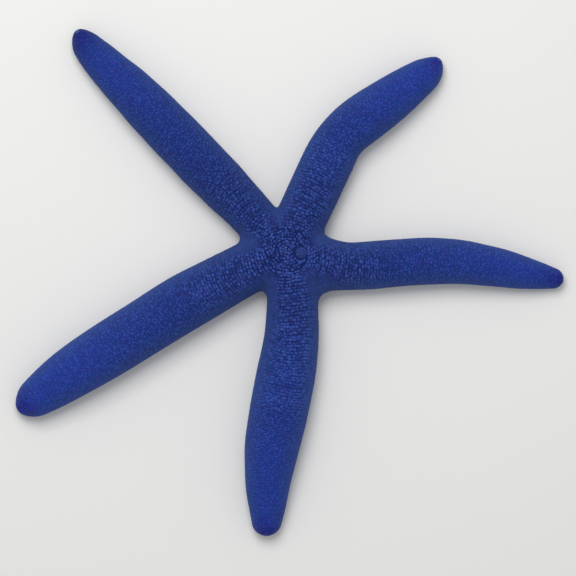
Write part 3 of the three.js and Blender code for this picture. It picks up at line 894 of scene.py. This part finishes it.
def furrow_pieces(body, settings, foot_finish, spine_finish):
    """The tube feet in the furrows and the rows of blunt spines on each of their lips."""
    rng = np.random.default_rng(settings.seed)
    feet, spines = Heap(), Heap()
    for arm in body.arms:
        for hand in (-1, 1):
            add_foot_row(feet, body, arm, hand, settings, rng)
            for row in range(len(SPINE_ROWS)):
                add_spine_row(spines, body, arm, hand, row, settings, rng)
    feet.piece("tube_feet", foot_finish, "mouth")
    spines.piece("furrow_spines", spine_finish, "skin")


def polar_sheet(rings, sides, radius, height):
    """A round sheet with its faces up: its points, its faces, and each point's radius and turn."""
    r = np.repeat(np.linspace(0, 1, rings + 1)[1:], sides) * radius
    turn = np.tile(np.arange(sides) * 2 * math.pi / sides, rings)
    r, turn = np.concatenate([[0.0], r]), np.concatenate([[0.0], turn])
    points = np.stack([r * np.cos(turn), r * np.sin(turn), height(r, turn)], axis=1)
    return points, round_faces(rings, sides), r, turn


def membrane_height(r, turn):
    """How high the mouth's membrane is: pleated all round, and drawn up into the opening."""
    pleats = PLEAT * np.sin(20 * turn + 2 * np.sin(3 * turn)) * smoothstep(r, 0.3 * MM, 1.4 * MM)
    radii, heights = np.array(MEMBRANE).T * MM
    return np.interp(r, radii, heights) + pleats


def add_jaw(heap, body, bearing, rng):
    """Adds the two halves of one jaw and the spines that stand on them, into the mouth."""
    out = np.array([math.cos(bearing), math.sin(bearing), 0.0])
    left = np.array([-out[1], out[0], 0.0])
    hub = np.array([*body.centre, 0.0])
    root_out, aside, height = JAW_ROOT
    roots = np.array([hub + out * root_out * MM + left * aside * MM * hand for hand in (-1, 1)])
    roots[:, 2] = height * MM
    breadth, length, depth = JAW_SIZE
    axes = [left * breadth * MM, out * length * MM, np.array([0.0, 0.0, -depth * MM])]
    halves = JAW.copies(roots, *(np.tile(axis, (2, 1)) for axis in axes))
    heap.add_copies(JAW, halves, body.chart(body.marks(roots)), tone=np.full(2, 0.3))
    for root_out, root_left, tip_out, tip_left in JAW_SPINES:
        for hand in (1, -1):
            root = hub + out * root_out * MM + left * root_left * hand * MM
            tip = hub + out * tip_out * MM + left * tip_left * hand * MM
            root[2], tip[2] = JAW_SPINE_ROOT, JAW_SPINE_TIP
            add_pegs(heap, body, SPINE, root[None], tip[None], np.array([JAW_SPINE_RADIUS]), rng)


def mouth_piece(body, settings, finish):
    """The membrane with its pleats round the opening, the five jaws, and their spines."""
    rng = np.random.default_rng(settings.seed + 1)
    low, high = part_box("mouth")
    radius = (high.x - low.x) / 2 + 0.5 * MM
    points, faces, r, _ = polar_sheet(28, 80, radius, membrane_height)
    points[:, :2] += body.centre
    heap = Heap()
    heap.add(points, [group[:, ::-1] for group in faces], body.chart(body.marks(points)),
             rise=smoothstep(r, 0.5 * MM, 2 * MM), tone=0.0)
    for arm, after in zip(body.arms, body.arms[1:] + body.arms[:1]):
        sweep = (arm.plan["bearing"] - after.plan["bearing"] + 360) % 360
        add_jaw(heap, body, math.radians(arm.plan["bearing"] - sweep / 2), rng)
    heap.piece("mouth_parts", finish, "mouth", ["mouth"])


def eye_pieces(body, finish):
    """The five eye cushions, each with its own heap of red cups."""
    turns = np.pi * (3 - np.sqrt(5)) * np.arange(EYE_CUPS)
    levels = 1 - (np.arange(EYE_CUPS) + 0.5) / EYE_CUPS * 2
    cups = np.stack([np.cos(turns) * np.sqrt(1 - levels ** 2), np.sin(turns) * np.sqrt(1 - levels ** 2),
                     levels], axis=1)
    lat = np.repeat(np.linspace(0, math.pi, EYE_RINGS + 2)[1:-1], EYE_SIDES)
    lon = np.tile(np.arange(EYE_SIDES) * 2 * math.pi / EYE_SIDES, EYE_RINGS)
    ball = np.stack([np.sin(lat) * np.cos(lon), np.sin(lat) * np.sin(lon), np.cos(lat)], axis=1)
    ball = np.vstack([[0, 0, 1], ball, [0, 0, -1]])
    fan, bands = round_faces(EYE_RINGS, EYE_SIDES)
    lower_fan = len(ball) - 1 - fan
    cup = smoothstep((ball @ cups.T).max(axis=1), 0.955, 1.0)
    for arm in body.arms:
        eye = f"arm_{arm.number + 1}_eye"
        low, high = (np.array(corner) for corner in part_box(eye))
        points = (low + high) / 2 + ball * (high - low) / 2 * (0.93 + 0.09 * cup)[:, None]
        heap = Heap()
        heap.add(points, [bands, fan, lower_fan], 0.5 + 0.5 * ball[:, :2], rise=cup)
        heap.piece(f"eye_{arm.number + 1}", finish, "eye", [eye])


# ---- The madreporite --------------------------------------------------------------------------

SIEVE_EDGE = 0.75 * MM  # how far the plate's dome falls from its middle to its rim
SIEVE_CUT = 0.2 * MM  # depth of the maze's furrows
SIEVE_WAVES = 7  # how many waves cross to make the maze


def madreporite_piece(settings, finish):
    """The sieve plate: a low dome cut by a maze of winding furrows."""
    low, high = (np.array(corner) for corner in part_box("madreporite"))
    radius = (high[0] - low[0]) / 2
    rng = np.random.default_rng(settings.seed + 3)
    headings = rng.uniform(0, math.pi, SIEVE_WAVES)
    phases = rng.uniform(0, 2 * math.pi, SIEVE_WAVES)

    def dome(share):
        return high[2] - SIEVE_EDGE * share ** 2.4

    def height(r, turn):
        share = r / radius
        along = np.cos(turn[:, None] - headings) * r[:, None] * 2 * math.pi / (0.78 * MM)
        maze = np.cos(along + phases).sum(axis=1) / 1.8
        rings = np.sin(2 * math.pi * r / (0.74 * MM) + 2 * turn + np.sin(3 * turn))
        cut = smoothstep(maze + rings * share, -0.25, 0.7) * (1 - smoothstep(share, 0.88, 0.98))
        return dome(share) - SIEVE_CUT * cut - 1.0 * MM * smoothstep(share, 0.94, 1.0)

    points, faces, r, turn = polar_sheet(64, 150, radius, height)
    share = r / radius
    depth = np.clip((dome(share) - points[:, 2]) / SIEVE_CUT, 0, 1)
    points[:, :2] += (low[:2] + high[:2]) / 2
    charts = np.stack([0.5 + 0.48 * share * np.cos(turn), 0.5 + 0.48 * share * np.sin(turn)], axis=1)
    heap = Heap()
    heap.add(points, faces, charts, rise=1 - depth, share=share)
    heap.piece("sieve_plate", finish, "madreporite", ["madreporite"])


# ---- Finishes ---------------------------------------------------------------------------------


class Value:
    """A value that varies over a surface. Arithmetic on it adds Math nodes to its finish."""

    def __init__(self, finish, socket):
        self.finish = finish
        self.socket = socket

    def math(self, operation, *terms):
        sockets = dict(enumerate(terms))
        return self.finish.node("ShaderNodeMath", {"operation": operation}, sockets)["Value"]

    def __add__(self, other):
        return self.math("ADD", self, other)

    def __sub__(self, other):
        return self.math("SUBTRACT", self, other)

    def __rsub__(self, other):
        return self.math("SUBTRACT", other, self)

    def __mul__(self, other):
        return self.math("MULTIPLY", self, other)

    __radd__ = __add__
    __rmul__ = __mul__


class Finish:
    """A material under construction, and the few ways its nodes are made."""

    def __init__(self, name):
        self.material = bpy.data.materials.new(name)
        self.material.use_nodes = True
        self.tree = self.material.node_tree
        self.tree.nodes.clear()

    def node(self, kind, settings, sockets):
        """Adds a node: its settings first, then its sockets by place or name. Gives its outputs."""
        node = self.tree.nodes.new(kind)
        for key, setting in settings.items():
            if key == "stops":
                self.set_stops(node.color_ramp, setting)
            else:
                setattr(node, key, setting)
        for key, value in sockets.items():
            socket = next(s for i, s in enumerate(node.inputs) if key in (i, s.identifier, s.name))
            if isinstance(value, Value):
                self.tree.links.new(value.socket, socket)
            else:
                socket.default_value = value
        outputs = {}
        for socket in node.outputs:
            outputs.setdefault(socket.name, Value(self, socket))
            outputs[socket.identifier] = Value(self, socket)
        return outputs

    @staticmethod
    def set_stops(ramp, stops):
        ramp.interpolation = "EASE"
        while len(ramp.elements) < len(stops):
            ramp.elements.new(0.5)
        for element, (place, colour) in zip(ramp.elements, stops):
            element.position = place
            element.color = (*colour, 1.0)

    def reading(self, name):
        return self.node("ShaderNodeAttribute", {"attribute_name": name}, {})["Fac"]

    def place(self):
        return self.node("ShaderNodeTexCoord", {}, {})["Object"]

    def noise(self, size, detail=2.0, roughness=0.5, distortion=0.0):
        """Noise from 0 to 1 whose blotches are about size across."""
        return self.node("ShaderNodeTexNoise", {}, {
            "Vector": self.place(), "Scale": 1 / size, "Detail": detail, "Roughness": roughness,
            "Distortion": distortion,
        })["Fac"]

    def grains(self, size):
        """The distance from the middle of the nearest of many round grains of about that size."""
        voronoi = self.node("ShaderNodeTexVoronoi", {}, {"Vector": self.place(), "Scale": 1 / size})
        return voronoi["Distance"]

    def between(self, value, low, high):
        """0 where a value is under low, 1 where it is over high, and eased in between."""
        return self.node("ShaderNodeMapRange", {"interpolation_type": "SMOOTHSTEP"}, {
            "Value": value, "From Min": low, "From Max": high,
        })["Result"]

    def ramp(self, value, stops):
        return self.node("ShaderNodeValToRGB", {"stops": stops}, {"Fac": value})["Color"]

    def blend(self, share, first, second):
        return self.node("ShaderNodeMix", {"data_type": "RGBA"}, {
            "Factor_Float": share, "A_Color": colour4(first), "B_Color": colour4(second),
        })["Result_Color"]

    def scaled(self, colour, value):
        return self.node("ShaderNodeVectorMath", {"operation": "SCALE"}, {
            "Vector": colour, "Scale": value,
        })["Vector"]

    def bumped(self, height, distance, strength=1.0):
        return self.node("ShaderNodeBump", {}, {
            "Height": height, "Distance": distance, "Strength": strength,
        })["Normal"]

    def done(self, **sockets):
        """Ends the material in a Principled shader with these sockets."""
        named = {key.replace("_", " "): value for key, value in sockets.items()}
        shader = self.node("ShaderNodeBsdfPrincipled", {}, named)["BSDF"]
        self.node("ShaderNodeOutputMaterial", {}, {"Surface": shader})
        return self.material


def colour4(colour):
    return colour if isinstance(colour, Value) else (*colour[:3], 1.0)


def velvet(colours):
    """The sockets of the soft blue sheen that the skin and the sieve plate share."""
    return {"Sheen_Weight": colours.sheen, "Sheen_Roughness": 0.45, "Sheen_Tint": (0.5, 0.62, 1.0, 1.0)}


def back_blue(finish, share, side, colours):
    """The back's blue, from indigo by the disc to violet at the noses, with blotches and flecks."""
    crest = finish.ramp(share, [
        (0.0, colours.disc), (0.2, colours.disc), (0.5, colours.middle), (0.82, colours.outer),
        (0.91, colours.outer), (0.99, colours.nose),
    ])
    # The flanks are lighter and greyer than the darker crest: partly the skin's own colour and partly a
    # painted sheen.
    flank = finish.blend(0.6, crest, colours.flank)
    blue = finish.blend(finish.between(side, 0.08, 0.4), crest, flank)
    blotches = finish.noise(5 * MM, detail=3, distortion=0.4)
    blue = finish.blend(finish.between(blotches, 0.5, 0.72) * 0.3, blue, colours.violet)
    small = finish.noise(1.9 * MM, detail=2)
    blue = finish.blend(finish.between(small, 0.5, 0.75) * 0.4, blue, colours.azure)
    fleck = finish.noise(0.62 * MM, detail=2)
    for low, high, colour in ((0.53, 0.7, colours.violet_fleck), (0.47, 0.3, colours.teal_fleck)):
        blue = finish.blend(finish.between(fleck, low, high) * colours.fleck_share, blue, colour)
    return blue


def blue_finish(name, colours):
    """The velvety blue of skin and plates, with painted highlights on plate tops, partly painted shade in
    the grooves, and a tan sole.
    """
    finish = Finish(name)
    share, side = finish.reading("share"), finish.reading("side")
    rise, relief = finish.reading("rise"), finish.reading("relief")
    tone, pale = finish.reading("tone"), finish.reading("pale")
    grain = finish.grains(0.36 * MM)
    speckle = finish.noise(0.5 * MM, detail=2)
    light = (tone * (relief * 0.1 + 0.06) + 1) * (1.06 - grain * 0.16) * (speckle * 0.3 + 0.85)
    light = light * (1 + finish.reading("tint"))
    blue = finish.scaled(back_blue(finish, share, side, colours), light)
    # Painted highlight: the plates' tops are lightened towards a paler blue, more on raised plates and at
    # random by tone.
    top = finish.between(rise, 0.52, 1.0) * relief * (tone * 0.5 + 1.0)
    blue = finish.blend(top * colours.highlight_share, blue, colours.plate_top_highlight)
    # The grooves between the plates are darkened towards deep blue: partly the skin's own darker navy,
    # partly painted shade.
    groove_shade = relief * finish.between(rise, 0.48, 0.0) * (0.7 + speckle * 0.6)
    blue = finish.blend(groove_shade * colours.groove_shade_depth, blue, colours.groove_shade)
    blue = finish.blend(finish.between(rise, 0.35, 0.9) * pale * 0.75, blue, colours.pale_plate)
    sole = finish.blend(finish.noise(2.2 * MM), colours.sole, colours.sole_tan)
    # Painted shade: the sole is darker towards the plates' rims and on the skin between them.
    sole = finish.scaled(sole, 1.04 - grain * 0.22 - (1 - rise) * 0.22)
    return finish.done(
        Base_Color=finish.blend(finish.between(side, 0.62, 0.8), blue, sole),
        Roughness=speckle * 0.16 + 0.62 + relief * 0.04,
        Normal=finish.bumped((1 - grain) * 0.6 + speckle * 0.7, 0.07 * MM),
        Specular_IOR_Level=0.07, **velvet(colours),
    )


def foot_finish(name, colours):
    """Translucent cream tube feet with wrinkled sides and paler suckers."""
    finish = Finish(name)
    rise, tone = finish.reading("rise"), finish.reading("tone")
    mottle = finish.noise(0.6 * MM, detail=3)
    cream = finish.blend(finish.between(rise, 0.2, 0.85), colours.foot_root, colours.foot)
    cream = finish.scaled(cream, 1 + tone * 0.06 - mottle * 0.18)
    return finish.done(
        Base_Color=cream, Roughness=0.34 + mottle * 0.2, Normal=finish.bumped(mottle, 0.04 * MM),
        Subsurface_Weight=0.15, Subsurface_Scale=0.4 * MM, Specular_IOR_Level=0.5,
    )


def spine_finish(name, colours):
    """Blunt furrow spines, blue-grey at the root and tan at the tip."""
    finish = Finish(name)
    rise, tone = finish.reading("rise"), finish.reading("tone")
    grain = finish.grains(0.22 * MM)
    colour = finish.blend(finish.between(rise, 0.1, 0.7), colours.sole, colours.spine)
    colour = finish.scaled(colour, 1.05 + tone * 0.08 - grain * 0.25)
    return finish.done(
        Base_Color=colour, Roughness=0.62 + grain * 0.12, Normal=finish.bumped(1 - grain, 0.03 * MM),
        Specular_IOR_Level=0.35,
    )


def mouth_finish(name, colours):
    """The soft tan membrane, with painted shade in the opening, and chalky jaws and spines."""
    finish = Finish(name)
    rise, tone = finish.reading("rise"), finish.reading("tone")
    folds = finish.noise(0.7 * MM, detail=4, distortion=0.5)
    tan = finish.blend(folds * 0.8, colours.mouth, colours.foot)
    # Painted shade: the membrane darkens to near black in the mouth's opening.
    tan = finish.blend(rise, colours.mouth_opening_shade, tan)
    tan = finish.scaled(tan, 1 + tone * 0.06 - folds * 0.12)
    return finish.done(
        Base_Color=tan, Roughness=0.5 + folds * 0.15, Normal=finish.bumped(folds, 0.08 * MM),
        Specular_IOR_Level=0.4,
    )


def sieve_finish(name, colours):
    """The chalky grey-blue sieve plate, with painted shade in its furrows."""
    finish = Finish(name)
    rise = finish.reading("rise")
    grain = finish.grains(0.16 * MM)
    mottle = finish.noise(0.8 * MM, detail=3)
    # Painted shade: the furrows of the maze are darker than the ridges.
    colour = finish.blend(finish.between(rise, 0.1, 0.9), colours.sieve_furrow_shade, colours.sieve)
    colour = finish.scaled(colour, 1.1 - grain * 0.2 - mottle * 0.2)
    return finish.done(
        Base_Color=colour, Roughness=0.68 + grain * 0.12, Normal=finish.bumped(1 - grain, 0.03 * MM),
        Specular_IOR_Level=0.15, **velvet(colours),
    )


def eye_finish(name, colours):
    """Glossy red eye cushions, whose cups are darker than the skin between them."""
    finish = Finish(name)
    rise = finish.reading("rise")
    mottle = finish.noise(0.25 * MM, detail=2)
    colour = finish.blend(rise, colours.eye, colours.eye_cup)
    colour = finish.scaled(colour, 1.08 - mottle * 0.2)
    return finish.done(
        Base_Color=colour, Roughness=0.24 + mottle * 0.12, Normal=finish.bumped(mottle, 0.01 * MM),
        Specular_IOR_Level=0.5,
    )


def floor_finish(stage):
    """The plain pale floor."""
    finish = Finish("pale_floor")
    return finish.done(Base_Color=colour4(stage.floor), Roughness=0.85, Specular_IOR_Level=0.2)


# ---- What a user may change -------------------------------------------------------------------


def a_length(name, description, default):
    return FloatProperty(name=name, description=description, default=default, min=0.0, soft_max=0.1,
                         precision=5, unit="LENGTH")


def a_share(name, description, default, most=1.0):
    return FloatProperty(name=name, description=description, default=default, min=0.0, max=most,
                         subtype="FACTOR")


def a_colour(name, description, default):
    return FloatVectorProperty(name=name, description=description, default=default, size=3, min=0.0,
                               max=1.0, subtype="COLOR")


class SeaStarBodySettings(bpy.types.PropertyGroup):
    """The skin's own sizes."""

    coat_depth: a_length("Coat depth", "How deep the crests' skin lies inside the outer shape", 0.25 * MM)
    voxel: a_length("Skin mesh", "Breadth of the skin's faces", 0.69 * MM)
    web_breadth: a_share("Web breadth", "Scales how broadly neighbouring arms run together", 1.0, 2.0)
    unevenness: a_length("Unevenness", "Height of the skin's slow swells", 0.3 * MM)
    seed: IntProperty(name="Seed", description="Picks another set of slow swells", default=4)


class SeaStarPlateSettings(bpy.types.PropertyGroup):
    """The coat of plates."""

    coarse_pitch: a_length("Coarse pitch", "Distance between rows of plates near the disc", 1.26 * MM)
    coarse_breadth: a_length("Coarse breadth", "Breadth of a plate on the crest near the disc", 1.48 * MM)
    fine_pitch: a_length("Fine pitch", "Distance between rows of plates towards the tips", 1.1 * MM)
    fine_breadth: a_length("Fine breadth", "Breadth of a plate towards the tips", 1.12 * MM)
    tip_size: a_share("Tip size", "Size of the plates at the tips, as a share of the fine ones", 0.84)
    scatter: a_share("Scatter", "How far fine plates stray off their rows, in pitches", 0.36)
    ring_pitch: a_length("Ring pitch", "Distance between the rings of plates on the disc", 1.18 * MM)
    crest_rise: a_length("Rise", "How high the coarsest plates stand over the skin", 0.34 * MM)
    seed: IntProperty(name="Seed", description="Picks another scatter of the plates", default=11)


class SeaStarUnderSettings(bpy.types.PropertyGroup):
    """The furrows, tube feet and mouth."""

    foot_spacing: a_length("Foot spacing", "Distance between tube feet in a row", 1.4 * MM)
    foot_radius: a_length("Foot radius", "Half breadth of a tube foot's sucker", 0.46 * MM)
    spine_spacing: a_length("Spine spacing", "Distance between furrow spines in a row", 1.0 * MM)
    spine_radius: a_length("Spine radius", "Half breadth of a furrow spine", 0.34 * MM)
    seed: IntProperty(name="Seed", description="Picks another sway of the tube feet", default=23)


class SeaStarColourSettings(bpy.types.PropertyGroup):
    """The finishes' colours."""

    disc: a_colour("Disc", "Crest colour by the disc", (0.0112, 0.0245, 0.140))
    middle: a_colour("Middle", "Crest colour half way along an arm", (0.0148, 0.0386, 0.236))
    outer: a_colour("Outer", "Crest colour of the outer part of an arm", (0.0164, 0.044, 0.300))
    nose: a_colour("Nose", "Colour at an arm's tip", (0.0155, 0.0190, 0.240))
    # Lighter and greyer than the crest: partly the skin's own colour and partly a painted sheen.
    flank: a_colour("Flank", "Colour down an arm's sides", (0.0368, 0.080, 0.252))
    violet: a_colour("Violet", "Broad violet blotches", (0.030, 0.030, 0.190))
    azure: a_colour("Azure", "Small blue blotches", (0.016, 0.062, 0.280))
    violet_fleck: a_colour("Violet fleck", "Fine violet flecks", (0.060, 0.032, 0.250))
    teal_fleck: a_colour("Teal fleck", "Fine teal flecks", (0.004, 0.062, 0.170))
    fleck_share: a_share("Fleck share", "How far the flecks take on their own colours", 0.45)
    # Painted highlight on the tops of the coarse plates.
    plate_top_highlight: a_colour("Plate top", "Tops of the coarse plates", (0.041, 0.085, 0.345))
    pale_plate: a_colour("Pale plate", "A few pale plates on the disc", (0.10, 0.16, 0.36))
    sole: a_colour("Sole", "Blue grey of the underside", (0.10, 0.15, 0.30))
    sole_tan: a_colour("Sole tan", "Tan of the underside", (0.30, 0.26, 0.22))
    spine: a_colour("Spine", "Tan of the furrow spines' tips", (0.46, 0.38, 0.27))
    foot: a_colour("Tube foot", "Sucker and outer part of a tube foot", (0.72, 0.62, 0.38))
    foot_root: a_colour("Tube foot root", "Root of a tube foot", (0.50, 0.38, 0.20))
    mouth: a_colour("Mouth", "The mouth's membrane", (0.42, 0.34, 0.22))
    # Painted shade in the mouth's opening.
    mouth_opening_shade: a_colour("Mouth opening", "Inside the mouth's opening", (0.05, 0.03, 0.03))
    sieve: a_colour("Sieve plate", "Ridges of the sieve plate", (0.034, 0.072, 0.290))
    # Painted shade in the furrows of the sieve plate.
    sieve_furrow_shade: a_colour("Sieve furrow", "Furrows of the sieve plate", (0.008, 0.018, 0.100))
    eye: a_colour("Eye cushion", "Skin of the eye cushions", (0.45, 0.04, 0.02))
    eye_cup: a_colour("Eye cup", "Cups of the eye cushions", (0.16, 0.008, 0.006))
    # The grooves' deep blue and how far they take it on: partly the skin's own darker navy, partly painted
    # shade.
    groove_shade: a_colour("Groove", "Deep blue of the grooves between plates", (0.0035, 0.0085, 0.078))
    groove_shade_depth: a_share("Groove depth", "How far the grooves take on their own colour", 0.68)
    # How far the painted highlight lightens the plates' tops.
    highlight_share: a_share("Plate top share", "How far the plates' tops take on their own colour", 0.58)
    sheen: a_share("Sheen", "Strength of the velvety sheen", 0.06)


class SeaStarStageSettings(bpy.types.PropertyGroup):
    """The floor, the light and the camera."""

    floor: a_colour("Floor", "Colour of the floor", (0.80, 0.79, 0.77))
    key_power: FloatProperty(name="Key power", description="Power of the key light", default=3.8,
                             min=0.0, subtype="POWER", unit="POWER")
    key_size: a_length("Key size", "Breadth of the key light", 0.45)
    sky: FloatProperty(name="Sky", description="Strength of the even light all round", default=0.56,
                       min=0.0)
    lens: FloatProperty(name="Lens", description="The camera's focal length", default=300.0, min=1.0,
                        subtype="DISTANCE_CAMERA", unit="CAMERA")


# ---- Operators --------------------------------------------------------------------------------


def shared_finish(make, name, context):
    """The finish of that name, made on first use."""
    return bpy.data.materials.get(name) or make(name, context.scene.sea_star_colours)


class SEASTAR_OT_skin(bpy.types.Operator):
    """Build the one skin over the disc and the five arms"""

    bl_idname = "seastar.skin"
    bl_label = "Skin"

    def execute(self, context):
        settings = context.scene.sea_star_body
        heap = skin_heap(Body(settings), settings.voxel)
        flesh = [f"arm_{k + 1}_{part}" for k in range(len(ARM_PLANS)) for part in ("base", "middle", "tip")]
        finish = shared_finish(blue_finish, "sea_star_blue", context)
        heap.piece("skin", finish, "skin", ["disc", *flesh])
        return {"FINISHED"}


class SEASTAR_OT_plates(bpy.types.Operator):
    """Lay the plates of the disc, arms and soles, and the terminal plates"""

    bl_idname = "seastar.plates"
    bl_label = "Plates"

    def execute(self, context):
        body = Body(context.scene.sea_star_body)
        plates = context.scene.sea_star_plates
        finish = shared_finish(blue_finish, "sea_star_blue", context)
        plate_pieces(body, plates, finish)
        terminal_piece(body, plates, finish)
        return {"FINISHED"}


class SEASTAR_OT_furrows(bpy.types.Operator):
    """Fill the furrows with tube feet and line their lips with spines"""

    bl_idname = "seastar.furrows"
    bl_label = "Furrows"

    def execute(self, context):
        body = Body(context.scene.sea_star_body)
        feet = shared_finish(foot_finish, "tube_foot_cream", context)
        spines = shared_finish(spine_finish, "furrow_spine", context)
        furrow_pieces(body, context.scene.sea_star_under, feet, spines)
        return {"FINISHED"}


class SEASTAR_OT_mouth(bpy.types.Operator):
    """Build the mouth's membrane, jaws and spines"""

    bl_idname = "seastar.mouth"
    bl_label = "Mouth"

    def execute(self, context):
        finish = shared_finish(mouth_finish, "mouth_membrane", context)
        mouth_piece(Body(context.scene.sea_star_body), context.scene.sea_star_under, finish)
        return {"FINISHED"}


class SEASTAR_OT_sieve(bpy.types.Operator):
    """Build the madreporite, the sieve plate beside the disc's centre"""

    bl_idname = "seastar.sieve"
    bl_label = "Madreporite"

    def execute(self, context):
        finish = shared_finish(sieve_finish, "sieve_plate_chalk", context)
        madreporite_piece(context.scene.sea_star_plates, finish)
        return {"FINISHED"}


class SEASTAR_OT_eyes(bpy.types.Operator):
    """Build the red eye cushion under each arm's nose"""

    bl_idname = "seastar.eyes"
    bl_label = "Eye cushions"

    def execute(self, context):
        eye_pieces(Body(context.scene.sea_star_body), shared_finish(eye_finish, "eye_cushion_red", context))
        return {"FINISHED"}


AIM = Vector((-0.68, -2.23, 8.0)) * MM  # what the camera looks straight down at
VIEW_BREADTH = 1.0488  # breadth of the view at that height, as a share of the body's breadth
FLOOR_SIZE = 6.0
KEY_BEARING, KEY_ELEVATION = 108, 62  # degrees anticlockwise from +X, and up from the floor
KEY_DISTANCE = 0.8
SKY_COLOUR = (0.96, 0.98, 1.0, 1.0)


def placed(name, data, location=(0, 0, 0)):
    """Adds an object that isn't one of the star's own pieces."""
    obj = bpy.data.objects.new(name, data)
    obj.location = location
    bpy.context.scene.collection.objects.link(obj)
    return obj


def make_floor(stage):
    edge = FLOOR_SIZE / 2
    mesh = bpy.data.meshes.new("floor")
    corners = [(-edge, -edge, 0), (edge, -edge, 0), (edge, edge, 0), (-edge, edge, 0)]
    mesh.from_pydata(corners, [], [(0, 1, 2, 3)])
    mesh.materials.append(floor_finish(stage))
    placed("floor", mesh)


def make_light(stage):
    """The soft key light from behind, and the even sky."""
    light = bpy.data.lights.new("key", "AREA")
    light.energy = stage.key_power
    light.size = stage.key_size
    bearing, elevation = math.radians(KEY_BEARING), math.radians(KEY_ELEVATION)
    toward = Vector((math.cos(bearing) * math.cos(elevation), math.sin(bearing) * math.cos(elevation),
                     math.sin(elevation)))
    key = placed("key", light, toward * KEY_DISTANCE)
    key.rotation_euler = toward.to_track_quat("Z", "Y").to_euler()
    world = bpy.data.worlds.new("studio")
    world.use_nodes = True
    background = world.node_tree.nodes["Background"]
    background.inputs["Color"].default_value = SKY_COLOUR
    background.inputs["Strength"].default_value = stage.sky
    bpy.context.scene.world = world


def make_camera(stage):
    """The camera, so far up that the star is seen as if from straight above all over."""
    lens = bpy.data.cameras.new("camera")
    lens.lens = stage.lens
    lens.clip_start = 0.01
    breadth = VIEW_BREADTH * (CAD_BOX[1].x - CAD_BOX[0].x)
    height = Vector((0, 0, breadth * stage.lens / lens.sensor_width))
    bpy.context.scene.camera = placed("camera", lens, AIM + height)
    bpy.context.scene.view_settings.view_transform = "Standard"


class SEASTAR_OT_stage(bpy.types.Operator):
    """Make the pale floor, the soft light and the camera that looks straight down"""

    bl_idname = "seastar.stage"
    bl_label = "Stage"

    def execute(self, context):
        stage = context.scene.sea_star_stage
        make_floor(stage)
        make_light(stage)
        make_camera(stage)
        return {"FINISHED"}


class SEASTAR_PT_panel(bpy.types.Panel):
    """Lists the sea star's pieces and their settings"""

    bl_idname = "SEASTAR_PT_panel"
    bl_label = "Sea Star"
    bl_space_type = "VIEW_3D"
    bl_region_type = "UI"
    bl_category = "Sea Star"

    def draw(self, context):
        for operator, group in STEPS:
            box = self.layout.box()
            box.operator(operator.bl_idname)
            settings = getattr(context.scene, group)
            for name in settings.__annotations__:
                box.prop(settings, name)


SETTINGS = {
    "sea_star_body": SeaStarBodySettings,
    "sea_star_plates": SeaStarPlateSettings,
    "sea_star_under": SeaStarUnderSettings,
    "sea_star_colours": SeaStarColourSettings,
    "sea_star_stage": SeaStarStageSettings,
}
STEPS = [
    (SEASTAR_OT_skin, "sea_star_body"),
    (SEASTAR_OT_plates, "sea_star_plates"),
    (SEASTAR_OT_furrows, "sea_star_under"),
    (SEASTAR_OT_mouth, "sea_star_under"),
    (SEASTAR_OT_sieve, "sea_star_plates"),
    (SEASTAR_OT_eyes, "sea_star_colours"),
    (SEASTAR_OT_stage, "sea_star_stage"),
]


def register():
    for group in SETTINGS.values():
        bpy.utils.register_class(group)
    for name, group in SETTINGS.items():
        setattr(bpy.types.Scene, name, PointerProperty(type=group))
    for operator, _ in STEPS:
        bpy.utils.register_class(operator)
    bpy.utils.register_class(SEASTAR_PT_panel)


def unregister():
    bpy.utils.unregister_class(SEASTAR_PT_panel)
    for operator, _ in reversed(STEPS):
        bpy.utils.unregister_class(operator)
    for name, group in SETTINGS.items():
        delattr(bpy.types.Scene, name)
        bpy.utils.unregister_class(group)


def main():
    register()
    for step in ("skin", "plates", "furrows", "mouth", "sieve", "eyes", "stage"):
        getattr(bpy.ops.seastar, step)()


if __name__ == "__main__":
    main()
